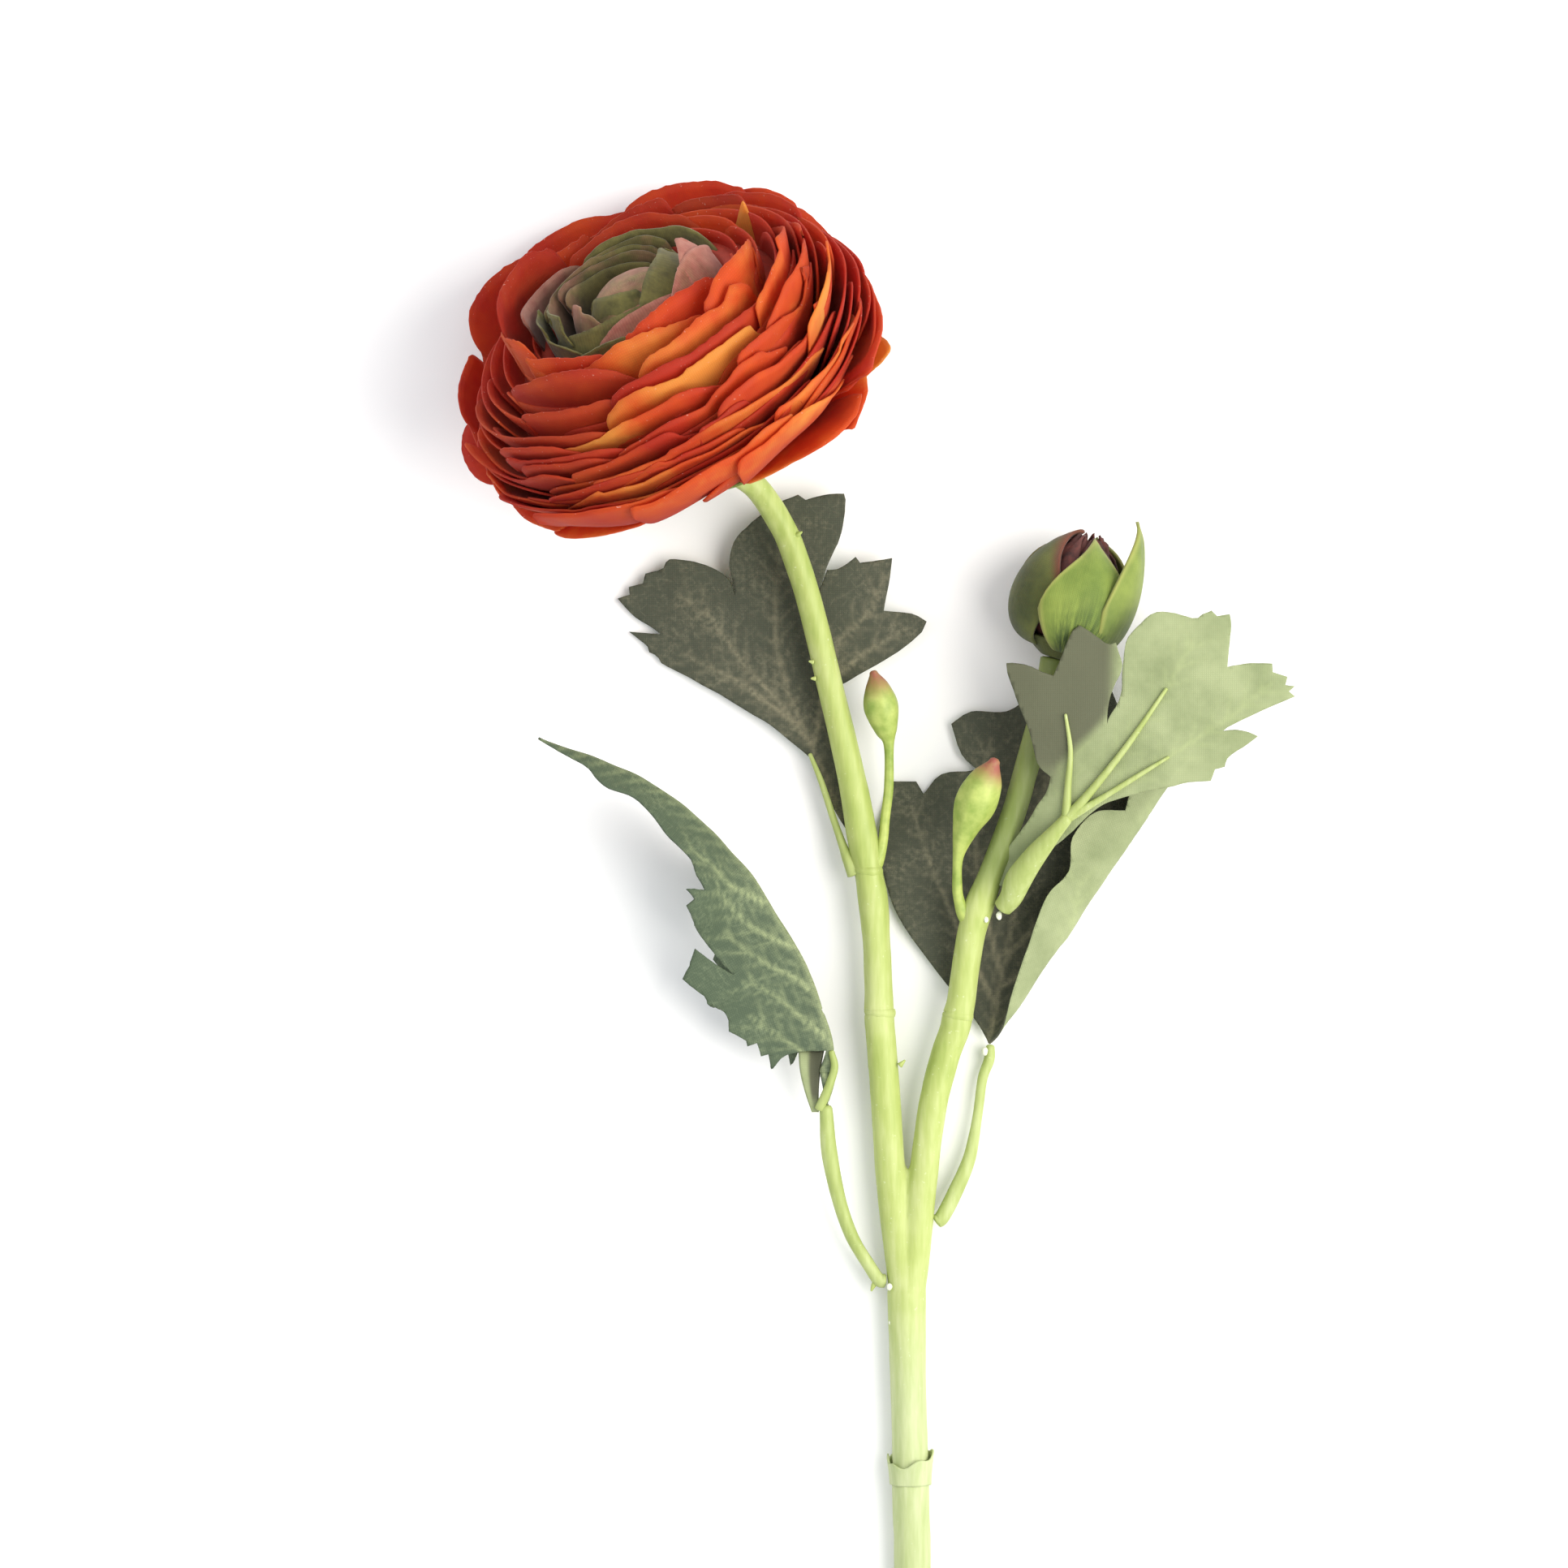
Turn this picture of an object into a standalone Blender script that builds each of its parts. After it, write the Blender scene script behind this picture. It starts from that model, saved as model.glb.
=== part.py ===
# A ranunculus spray lying on a surface: one full bloom, one large green bud,
# two small buds and four lobed leaves on a forked stem with a cut end.
# The origin is on the surface, under the middle of the spray. +Y runs from
# the cut end to the bloom and +Z points up. Shapes are given in millimetres.

import math
import random

import bmesh
import bpy
import numpy as np
from mathutils import Matrix, Vector

MM = 0.001
CLEARANCE = 0.3
BLADE_THICKNESS = 0.7

# Stems: each point is x, y, z and the radius there.
STALK_PATH = (
    (6.0, -40.5, 4.4, 3.9),
    (6.3, -58.0, 4.1, 3.6),
    (6.7, -72.0, 3.9, 3.6),
    (6.8, -78.5, 4.1, 4.0),
    (6.9, -84.0, 3.9, 3.7),
    (7.2, -96.0, 3.8, 3.7),
    (6.8, -131.0, 3.75, 3.7),
    (6.2, -178.0, 3.7, 3.7),
)
BLOOM_BRANCH_PATH = (
    (0.5, 15.1, 5.8, 3.0),
    (0.8, 11.0, 5.7, 3.0),
    (1.8, -1.5, 5.3, 3.0),
    (2.9, -17.7, 4.9, 3.05),
    (4.5, -30.7, 4.6, 3.2),
    (5.8, -40.5, 4.4, 3.3),
    (6.1, -46.0, 4.3, 3.2),
)
BUD_BRANCH_PATH = (
    (16.1, 14.4, 6.6, 3.1),
    (15.4, 11.3, 6.45, 3.0),
    (13.7, 6.6, 6.2, 2.95),
    (11.6, -1.5, 5.9, 2.9),
    (10.3, -9.6, 5.6, 2.85),
    (8.9, -20.9, 5.2, 3.0),
    (7.6, -32.3, 4.7, 3.2),
    (6.3, -42.0, 4.4, 3.3),
)
BLOOM_STEM_PATH = (
    (-23.6, 118.6, 16.6, 2.5),
    (-18.4, 110.8, 13.2, 2.5),
    (-15.3, 102.9, 11.5, 2.5),
    (-12.9, 94.9, 10.2, 2.5),
    (-9.1, 79.2, 8.6, 2.6),
    (-5.3, 63.1, 7.6, 2.75),
    (-2.8, 49.5, 7.0, 3.05),
    (-1.6, 43.0, 6.8, 2.8),
    (-0.7, 37.3, 6.5, 3.0),
    (0.0, 29.2, 6.2, 2.75),
    (0.4, 20.0, 5.9, 2.8),
    (0.5, 15.45, 5.8, 2.95),
)
BUD_STEM_PATH = (
    (16.2, 14.8, 6.65, 3.05),
    (16.8, 17.5, 6.85, 2.85),
    (17.5, 22.8, 7.2, 2.8),
    (18.8, 30.9, 7.9, 2.8),
    (20.4, 36.6, 8.5, 2.95),
    (22.8, 43.0, 9.2, 2.45),
    (27.2, 55.0, 10.0, 2.4),
    (29.5, 63.1, 10.4, 2.4),
    (33.4, 77.5, 11.3, 2.4),
    (34.9, 85.15, 11.87, 2.6),
)

# Small buds: a thin stalk that swells into the bud.
SMALL_BUD_UPPER_PATH = (
    (1.3, 49.6, 7.2, 0.95),
    (1.7, 53.7, 7.7, 0.95),
    (2.4, 60.0, 8.7, 0.95),
    (2.4, 68.0, 9.6, 1.0),
    (1.9, 71.1, 9.9, 2.2),
    (0.9, 75.6, 10.4, 3.4),
    (0.1, 79.5, 10.8, 2.5),
    (-0.6, 82.2, 11.0, 0.9),
)
SMALL_BUD_LOWER_PATH = (
    (16.6, 36.6, 9.4, 1.1),
    (15.9, 40.0, 10.4, 1.0),
    (16.0, 46.0, 12.2, 1.05),
    (17.3, 51.4, 13.7, 2.5),
    (19.2, 56.5, 15.0, 4.1),
    (21.3, 61.2, 16.1, 3.4),
    (22.9, 64.6, 16.8, 1.2),
)

# Leaf stalks, from the stem to the leaf.
LEAF_UPPER_STALK = (
    (-6.8, 47.6, 6.7, 1.0),
    (-7.6, 50.6, 5.8, 1.0),
    (-9.0, 54.6, 5.2, 0.9),
    (-11.2, 61.0, 5.0, 0.8),
    (-12.6, 67.0, 5.1, 0.6),
)
LEAF_LEFT_STALK = (
    (1.7, -38.4, 4.6, 1.35),
    (0.4, -38.1, 4.7, 1.35),
    (-1.8, -34.8, 4.9, 1.3),
    (-5.0, -29.3, 5.4, 1.3),
    (-7.5, -22.1, 6.0, 1.4),
    (-9.4, -12.7, 7.0, 1.6),
    (-10.1, -3.9, 8.7, 1.3),
)
LEAF_BACK_STALK = (
    (12.0, -26.6, 4.3, 1.4),
    (13.2, -25.6, 4.2, 1.5),
    (16.1, -20.0, 3.6, 1.5),
    (18.6, -13.9, 3.2, 1.3),
    (20.1, -6.2, 2.8, 1.0),
    (21.2, 1.6, 2.5, 1.0),
    (22.5, 5.4, 2.3, 1.1),
    (22.75, 8.0, 2.2, 0.9),
)
LEAF_FRONT_STALK = (
    (24.9, 36.0, 11.0, 1.9),
    (26.5, 38.2, 12.2, 2.3),
    (28.0, 41.8, 13.8, 2.6),
    (31.0, 46.3, 16.4, 2.2),
    (34.3, 50.4, 18.5, 1.6),
    (37.0, 53.6, 19.6, 1.2),
)

# Leaf margins, seen from above. A cut passes through points nearer than this.
CUT_SNAP = 0.6
LEAF_UPPER_PLACE = (-12.9, 77.6)
LEAF_UPPER_MARGIN = (
    (7.2, -27), (5.0, -25.5), (1.5, -15), (-5, -8), (-14, -1.5), (-23, 4),
    (-30, 7.5), (-36, 13.5), (-29, 13), (-35.5, 17.5), (-38, 20.5), (-33, 23),
    (-29.5, 26), (-24, 28), (-19.5, 26), (-15, 22.5), (-16, 27), (-14.5, 31.5),
    (-10, 37), (-5.5, 40), (-1, 39.5), (6.5, 41), (6, 36), (3.4, 27),
    (2.4, 21.5), (3.9, 25.5), (9, 28), (16, 28), (15.5, 24), (14, 18),
    (20.5, 17), (22.5, 15), (18, 9.5), (13.5, 7), (6, 3), (4.5, -2),
    (6.3, -14.5), (8.2, -24),
)
LEAF_FRONT_PLACE = (41.7, 63.0)
LEAF_FRONT_MARGIN = (
    (-10, -15), (-12.5, -10), (-8, -3.5), (-8.5, 0), (-11.5, 4), (-13, 11),
    (-16.5, 21), (-12.5, 21), (-8, 19), (-5, 25), (-2.5, 28.5), (2.5, 25),
    (4.5, 24), (3.5, 16), (2.4, 8), (6, 15), (7.5, 24), (10, 29.5),
    (16.5, 31), (20, 30), (23, 31), (26.8, 30.5), (26.5, 22), (24, 18.5),
    (30, 21), (35, 21), (38, 18.5), (39.5, 15.5), (35.5, 13.3), (25.5, 8.6),
    (32, 7), (30, 5), (26, 1), (23, -1.7), (15, -3), (3, -6.5), (-3, -10.5),
)
# Each rib runs over the blade: x, y, its height over the blade and its radius.
LEAF_FRONT_RIBS = (
    ((-4.7, -9.4, 1.9, 1.1), (0, -4, 1.5, 0.8), (7, 5, 1.3, 0.6), (14.5, 16, 1.1, 0.4)),
    ((-4.7, -9.4, 1.9, 1.0), (-4.4, -3, 1.5, 0.7), (-4, 4, 1.3, 0.5), (-5, 11, 1.1, 0.4)),
    ((-4.7, -9.4, 1.9, 1.0), (2, -5.4, 1.4, 0.6), (9, -1, 1.2, 0.5), (15, 2.7, 1.1, 0.4)),
)
LEAF_BACK_PLACE = (26.0, 42.0)
LEAF_BACK_MARGIN = (
    (-3.2, -33.5), (-7, -27.5), (-15, -17.5), (-22.5, -6), (-25.5, 8),
    (-22.5, 19), (-18, 19), (-16.5, 16.5), (-13, 20.5), (-8, 21), (-6, 21.5),
    (-9, 24.5), (-11, 30.5), (-7, 33), (0, 33), (5, 36.5), (8, 40.5),
    (15, 42.5), (20, 39), (23, 32), (18, 26), (30, 24), (38, 17), (40, 10),
    (34, 6), (36, 0), (33, -6), (27, -9), (24, -15), (16, -22), (6, -30),
)
# The back leaf's right side rolls up and over along this line.
ROLL_FROM = (-0.3, -23.4)
ROLL_TO = (27.0, 16.8)
ROLL_RADIUS = 3.4
ROLL_MOST = math.radians(165)
ROLL_ALONG = (Vector(ROLL_TO) - Vector(ROLL_FROM)).normalized()
ROLL_OUT = Vector((ROLL_ALONG.y, -ROLL_ALONG.x))

# The left leaf is folded along its midrib. Its margin is given flat: the
# distance along the midrib, and the distance out from it.
LEFT_MIDRIB = (
    (-9.7, -3.2, 9.2),
    (-8.1, 2.8, 9.6),
    (-8.7, 9.2, 10.2),
    (-11.2, 17.3, 11.0),
    (-14.2, 25.4, 12.0),
    (-19.2, 33.6, 13.2),
    (-23.8, 41.5, 14.4),
    (-30.9, 49.5, 15.8),
    (-41.7, 58.8, 17.4),
    (-53.6, 64.8, 19.0),
    (-67.0, 69.7, 21.0),
)
LEFT_HALF_MARGIN = (
    (3, 2), (7, 3.2), (9.5, 7), (8.5, 13), (14, 13.5), (17.5, 16.2), (21.5, 19),
    (25, 18.5), (33, 21), (39.5, 22.5), (42.5, 18.6), (35, 13), (42, 14.6),
    (50, 17), (54.5, 18), (57.5, 16), (54.5, 12), (61, 9.5), (69, 8.5),
    (79, 5.5), (87.5, 5), (96, 1.6),
)
LEFT_FAR_SHARE = 0.8
LEFT_NEAR_RISE = (math.radians(4), math.radians(45))
LEFT_FAR_DROP = (math.radians(-30), math.radians(-80))
LEFT_TURN = (38, 58)

# The bloom is a flattened ball of petals, turned about its own axis.
BLOOM_CENTRE = (-40.6, 141.9, 35.9)
BLOOM_TILT = math.radians(55)
BLOOM_HEADING = math.radians(120.5)
BLOOM_RADIUS = 42.0
BLOOM_HALF_DEPTH = 28.6
PETAL_THICKNESS = 0.7
PETALS_IN_LAYER = (5, 6, 6, 6, 7, 7, 7, 8, 8, 8)
FIRST_RIM = math.radians(29)
LAST_RIM = math.radians(97)
FIRST_LEAN = math.radians(-14)
LAST_LEAN = math.radians(14)
PETAL_OVERLAP = 1.36
PETAL_TURN = -0.9
PETAL_ROOT = (5.0, -16.6)
INNER_ROOT_RISE = 4.0
CORE_RADIUS = 31.0
CORE_HALF_DEPTH = 17.5
CORE_FOOT = (6.5, -18.2)
EYE_RADIUS = 18.3
EYE_FLOOR = 2.0
HEART_RINGS = ((16.4, 21.4, 5), (13.8, 20.9, 5), (11.2, 20.2, 4), (8.6, 19.6, 3))
HEART_BUD_RADIUS = 7.4
HEART_BUD_TOP = 18.6

# The calyx holds the bloom at the top of its stem.
CALYX_TOP = -18.7
CALYX_RADIUS = 14.5
CALYX_NOTCH_RADIUS = 8.0
CALYX_SEPALS = 5
CALYX_FOOT = -22.8

# The large bud.
BUD_BASE = (35.0, 85.5, 11.9)
BUD_TOP = (42.2, 109.4, 13.6)
BUD_RADIUS = 13.2
BUD_SEPAL_THICKNESS = 0.8
BUD_SEPAL_TURN = -0.45
BUD_CORE_GAP = 3.1
# Each sepal: heading and half width in degrees, how far it lies outside the
# rest, the radius and height of its tip, and how much its sides fall short.
BUD_SEPALS = (
    (10, 64, 0.0, 1.5, 25.6, 0.42),
    (104, 60, 1.0, 1.5, 24.6, 0.52),
    (182, 44, 0.0, 5.4, 30.2, 0.5),
    (245, 52, 0.8, 3.0, 25.0, 0.42),
    (306, 50, 0.0, 3.0, 25.4, 0.42),
)

SPRAY = "ranunculus"


def clear_scene():
    for obj in list(bpy.data.objects):
        bpy.data.objects.remove(obj, do_unlink=True)


def make_collection(name):
    collection = bpy.data.collections.new(name)
    bpy.context.scene.collection.children.link(collection)
    return collection


def make_material(name, color, roughness):
    material = bpy.data.materials.new(name)
    material.use_nodes = True
    shader = material.node_tree.nodes["Principled BSDF"]
    shader.inputs["Base Color"].default_value = (*color, 1)
    shader.inputs["Roughness"].default_value = roughness
    shader.inputs["Metallic"].default_value = 0
    return material


def smooth_path(points, per_span):
    """Points on a smooth curve through the given ones, with the radius carried along."""
    ends = [2 * np.array(points[0]) - points[1], 2 * np.array(points[-1]) - points[-2]]
    route = np.array([ends[0], *points, ends[1]], float)
    found = []
    for i in range(1, len(route) - 2):
        before, start, end, after = route[i - 1 : i + 3]
        for step in range(per_span):
            t = step / per_span
            found.append(
                0.5
                * (
                    2 * start
                    + (end - before) * t
                    + (2 * before - 5 * start + 4 * end - after) * t**2
                    + (3 * start - before - 3 * end + after) * t**3
                )
            )
    found.append(route[-2])
    return found


def mesh_object(name, mesh, material, collection):
    obj = bpy.data.objects.new(name, mesh)
    if not mesh.materials:
        mesh.materials.append(material)
    collection.objects.link(obj)
    return obj


def weld(mesh):
    bm = bmesh.new()
    bm.from_mesh(mesh)
    bmesh.ops.remove_doubles(bm, verts=bm.verts, dist=1e-6)
    bmesh.ops.recalc_face_normals(bm, faces=bm.faces)
    bm.to_mesh(mesh)
    bm.free()


def tube(name, points, material, collection, per_span=2, resolution=3):
    """A round stem along a path, made a welded mesh."""
    curve = bpy.data.curves.new(name, "CURVE")
    curve.dimensions = "3D"
    curve.bevel_depth = MM
    curve.bevel_resolution = resolution
    curve.use_fill_caps = True
    route = smooth_path(points, per_span)
    spline = curve.splines.new("POLY")
    spline.points.add(len(route) - 1)
    for point, (x, y, z, radius) in zip(spline.points, route):
        point.co = (x * MM, y * MM, z * MM, 1)
        point.radius = radius
    guide = bpy.data.objects.new(name + "_guide", curve)
    collection.objects.link(guide)
    graph = bpy.context.evaluated_depsgraph_get()
    mesh = bpy.data.meshes.new_from_object(guide.evaluated_get(graph))
    bpy.data.objects.remove(guide, do_unlink=True)
    weld(mesh)
    return mesh_object(name, mesh, material, collection)


def settle(obj):
    """Applies the object's modifiers."""
    graph = bpy.context.evaluated_depsgraph_get()
    mesh = bpy.data.meshes.new_from_object(obj.evaluated_get(graph))
    obj.modifiers.clear()
    obj.data = mesh


def islands(bm):
    """The groups of faces that hang together."""
    left = set(bm.faces)
    found = []
    while left:
        queue = [left.pop()]
        group = list(queue)
        while queue:
            face = queue.pop()
            for near in {other for edge in face.edges for other in edge.link_faces}:
                if near in left:
                    left.remove(near)
                    queue.append(near)
                    group.append(near)
        found.append(group)
    return found


def keep_main_body(mesh):
    """Fills the hollows that a union sealed and drops loose scraps, so one closed body is left."""
    bm = bmesh.new()
    bm.from_mesh(mesh)
    groups = sorted(islands(bm), key=lambda group: sum(face.calc_area() for face in group))
    spare = [face for group in groups[:-1] for face in group]
    bmesh.ops.delete(bm, geom=spare, context="FACES")
    bm.to_mesh(mesh)
    bm.free()


def fuse(obj, others, solver="EXACT"):
    """Joins the others to the object with one union and removes them."""
    helpers = make_collection(obj.name + "_pieces")
    for other in others:
        for collection in list(other.users_collection):
            collection.objects.unlink(other)
        helpers.objects.link(other)
    union = obj.modifiers.new("fuse", "BOOLEAN")
    union.operation = "UNION"
    union.operand_type = "COLLECTION"
    union.collection = helpers
    union.solver = solver
    bpy.context.view_layer.update()
    settle(obj)
    keep_main_body(obj.data)
    for other in others:
        bpy.data.objects.remove(other, do_unlink=True)
    bpy.data.collections.remove(helpers)
    return obj


def turned(name, profile, sides, place, material, collection):
    """A body of revolution. The profile runs down the outside, from top to bottom."""
    bm = bmesh.new()
    line = [bm.verts.new((r * MM, 0, z * MM)) for r, z in profile]
    edges = [bm.edges.new(pair) for pair in zip(line, line[1:])]
    bmesh.ops.spin(
        bm,
        geom=line + edges,
        cent=(0, 0, 0),
        axis=(0, 0, 1),
        angle=2 * math.pi,
        steps=sides,
        use_merge=True,
    )
    bmesh.ops.remove_doubles(bm, verts=bm.verts, dist=1e-6)
    bmesh.ops.recalc_face_normals(bm, faces=bm.faces)
    bmesh.ops.transform(bm, matrix=place, verts=bm.verts)
    mesh = bpy.data.meshes.new(name)
    bm.to_mesh(mesh)
    bm.free()
    return mesh_object(name, mesh, material, collection)


def blade(name, across, along, shape, thickness, material, collection):
    """A thin sheet: shape gives a point in millimetres for u from -1 to 1 and v from 0 to 1."""
    bm = bmesh.new()
    bmesh.ops.create_grid(bm, x_segments=across, y_segments=along, size=1)
    for vert in bm.verts:
        vert.co = Vector(shape(vert.co.x, (vert.co.y + 1) / 2)) * MM
    bmesh.ops.remove_doubles(bm, verts=bm.verts, dist=1e-6)
    bmesh.ops.recalc_face_normals(bm, faces=bm.faces)
    bmesh.ops.triangulate(bm, faces=bm.faces)
    mesh = bpy.data.meshes.new(name)
    bm.to_mesh(mesh)
    bm.free()
    sheet = mesh_object(name, mesh, material, collection)
    wall = sheet.modifiers.new("wall", "SOLIDIFY")
    wall.thickness = thickness * MM
    wall.offset = 0
    return sheet


def blend(low, high, share):
    return low + (high - low) * share


def ease(value, start, end):
    """Rises smoothly from 0 at start to 1 at end."""
    share = min(1, max(0, (value - start) / (end - start)))
    return share * share * (3 - 2 * share)


def bezier(points, t):
    a, b, c, d = (np.array(point, float) for point in points)
    s = 1 - t
    return s**3 * a + 3 * s * s * t * b + 3 * s * t * t * c + t**3 * d


def petal_shape(profile, heading, half_angle, turn, start, crown, wave, phase, blunt=2.6):
    """A petal: part of a turned surface, with its left edge further out than its right one."""

    def shape(u, v):
        rounding = 1 - crown * abs(u) ** blunt
        t = start + (1 - start) * v * rounding
        near, here = bezier(profile, t - 0.01), bezier(profile, t)
        along = (here - near) / np.linalg.norm(here - near)
        out = np.array((along[1], -along[0]))
        ripple = wave * v * v * math.sin(3.2 * u + phase)
        r, z = here + out * (turn * u * min(1, 2.2 * t) + ripple)
        width = 0.45 + 0.55 * math.sin(math.pi / 2 * min(1, t / 0.7))
        angle = heading + half_angle * u * width
        return r * math.cos(angle), r * math.sin(angle), z

    return shape


def bloom_frame():
    turn = Matrix.Rotation(BLOOM_HEADING, 4, "Z") @ Matrix.Rotation(BLOOM_TILT, 4, "Y")
    return Matrix.Translation(Vector(BLOOM_CENTRE) * MM) @ turn


def layer_profile(share):
    """The run of a petal in its layer, from the foot of the bloom to its rim."""
    rim_angle = blend(FIRST_RIM, LAST_RIM, share)
    lean = blend(FIRST_LEAN, LAST_LEAN, share)
    rim = (BLOOM_RADIUS * math.sin(rim_angle), BLOOM_HALF_DEPTH * math.cos(rim_angle))
    root_z = PETAL_ROOT[1] + INNER_ROOT_RISE * (1 - share)
    reach = 0.55 * (rim[1] - root_z)
    return (
        (PETAL_ROOT[0], root_z),
        (0.55 * rim[0], root_z - 0.5),
        (rim[0] - math.sin(lean) * reach, rim[1] - math.cos(lean) * reach),
        rim,
    )


def make_bloom_petals(material, collection):
    """The orange petals in their layers, fused to a core with a round eye for the heart."""
    rng = random.Random(7)
    place = bloom_frame()
    steps = [math.radians(angle) for angle in range(36, 171, 15)]
    flank = [
        (CORE_RADIUS * math.sin(angle), CORE_HALF_DEPTH * math.cos(angle))
        for angle in steps
    ]
    profile = [
        (0, EYE_FLOOR),
        (EYE_RADIUS, EYE_FLOOR),
        (EYE_RADIUS + 0.2, CORE_HALF_DEPTH * 0.8),
        *[(r, z) for r, z in flank if r > EYE_RADIUS + 1 and z > -9],
        (16, -15.2),
        CORE_FOOT,
        (0, CORE_FOOT[1]),
    ]
    bloom = turned("bloom_petals", profile, 20, place, material, collection)
    petals = []
    last = len(PETALS_IN_LAYER) - 1
    for layer, count in enumerate(PETALS_IN_LAYER):
        share = layer / last
        full = layer >= last - 1
        half_angle = PETAL_OVERLAP * math.pi / count
        for k in range(count):
            heading = 2 * math.pi * (k / count + 0.381966 * (last - layer))
            shape = petal_shape(
                layer_profile(share),
                heading + rng.uniform(-0.06, 0.06) * (not full),
                half_angle,
                PETAL_TURN,
                0.04 if full else blend(0.66, 0.55, share),
                blend(0.12, 0.24, share),
                rng.uniform(0.2, 0.5) * (layer < last),
                rng.uniform(0, 6),
            )
            petal = blade(
                f"petal_{layer}_{k}",
                4,
                4 if full else 2,
                shape,
                PETAL_THICKNESS,
                material,
                collection,
            )
            petal.data.transform(place)
            petals.append(petal)
    return fuse(bloom, petals, "MANIFOLD")


def make_bloom_heart(material, collection):
    """The furled green petals in the eye, round a closed bud."""
    rng = random.Random(3)
    place = bloom_frame()
    wall = EYE_RADIUS - CLEARANCE
    profile = (
        (0, HEART_BUD_TOP),
        (3.6, HEART_BUD_TOP - 0.8),
        (6.4, HEART_BUD_TOP - 3.2),
        (HEART_BUD_RADIUS, 12.5),
        (wall - 3, 11),
        (wall, 8),
        (wall, EYE_FLOOR + CLEARANCE),
        (0, EYE_FLOOR + CLEARANCE),
    )
    heart = turned("bloom_heart", profile, 16, place, material, collection)
    petals = []
    for ring, (radius, top, count) in enumerate(HEART_RINGS):
        lean = math.radians(-10 - 9 * ring)
        rim = (radius - 1.2, top)
        run = (
            (radius - 1.0, 8),
            (radius - 0.3, 12),
            (rim[0] - math.sin(lean) * 4, rim[1] - math.cos(lean) * 4),
            rim,
        )
        for k in range(count):
            shape = petal_shape(
                run,
                2 * math.pi * (k / count + 0.381966 * ring),
                PETAL_OVERLAP * math.pi / count,
                0.7,
                0.1,
                0.14,
                rng.uniform(0.1, 0.3),
                rng.uniform(0, 6),
            )
            name = f"heart_{ring}_{k}"
            petal = blade(name, 4, 2, shape, 0.6, material, collection)
            petal.data.transform(place)
            petals.append(petal)
    return fuse(heart, petals, "MANIFOLD")


def make_calyx(material, collection):
    """A small green cup under the bloom, with flat sepals spread under the outer petals."""
    sides = 8 * CALYX_SEPALS

    def rim(angle):
        lobe = abs(math.cos(CALYX_SEPALS * angle / 2)) ** 0.7
        return blend(CALYX_NOTCH_RADIUS, CALYX_RADIUS, lobe)

    bm = bmesh.new()
    rings = (
        (0.0, CALYX_TOP),
        (1.0, CALYX_TOP),
        (0.98, CALYX_TOP - 0.9),
        (0.45, CALYX_TOP - 1.9),
        (0.30, CALYX_FOOT),
        (0.0, CALYX_FOOT),
    )
    loops = []
    for share, z in rings:
        loop = []
        for k in range(sides):
            angle = 2 * math.pi * k / sides
            reach = rim(angle) if share > 0.9 else CALYX_RADIUS
            spot = (share * reach * math.cos(angle), share * reach * math.sin(angle), z)
            loop.append(bm.verts.new(Vector(spot) * MM))
        loops.append([bm.edges.new((loop[k - 1], loop[k])) for k in range(sides)])
    for upper, lower in zip(loops, loops[1:]):
        bmesh.ops.bridge_loops(bm, edges=upper + lower)
    bmesh.ops.remove_doubles(bm, verts=bm.verts, dist=1e-6)
    bmesh.ops.recalc_face_normals(bm, faces=bm.faces)
    bmesh.ops.transform(bm, matrix=bloom_frame(), verts=bm.verts)
    mesh = bpy.data.meshes.new("calyx")
    bm.to_mesh(mesh)
    bm.free()
    return mesh_object("calyx", mesh, material, collection)


def lines(start, end, step, direction):
    """Parallel cuts over a leaf: the first and last distance, the spacing, and the way across."""
    count = max(1, round((end - start) / step))
    across = Vector(direction).normalized()
    return [(across * blend(start, end, k / count), across) for k in range(count + 1)]


def leaf_blade(name, margin, cuts, place, material, collection):
    """A lobed leaf: its flat outline is split along the cuts, bent by place, and given a wall."""
    bm = bmesh.new()
    bm.faces.new([bm.verts.new((x, y, 0)) for x, y in margin])
    bmesh.ops.triangulate(bm, faces=bm.faces)
    for spot, across in cuts:
        bmesh.ops.bisect_plane(
            bm,
            geom=bm.verts[:] + bm.edges[:] + bm.faces[:],
            dist=CUT_SNAP,
            plane_co=(*spot, 0),
            plane_no=(*across, 0),
        )
    bmesh.ops.triangulate(bm, faces=bm.faces)
    for vert in bm.verts:
        vert.co = Vector(place(vert.co.x, vert.co.y)) * MM
    mesh = bpy.data.meshes.new(name)
    bm.to_mesh(mesh)
    bm.free()
    sheet = mesh_object(name, mesh, material, collection)
    wall = sheet.modifiers.new("wall", "SOLIDIFY")
    wall.thickness = BLADE_THICKNESS * MM
    wall.offset = 0
    return sheet


def place_upper(x, y):
    """The upper leaf lies nearly flat under the bloom's stem."""
    left, foot = LEAF_UPPER_PLACE
    return left + x, foot + y, 3.1 + 0.09 * max(y, 0) - 0.0026 * x * x


def place_front(x, y):
    """The front leaf climbs from the bud's stem and flattens over the bud's foot."""
    left, foot = LEAF_FRONT_PLACE
    run = max(0, 0.7 * (x + 15) + 0.72 * (y + 18))
    height = 10 + 15 * (1 - math.exp(-run / 19)) + 0.06 * max(0, y)
    return left + x, foot + y, height


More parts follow.
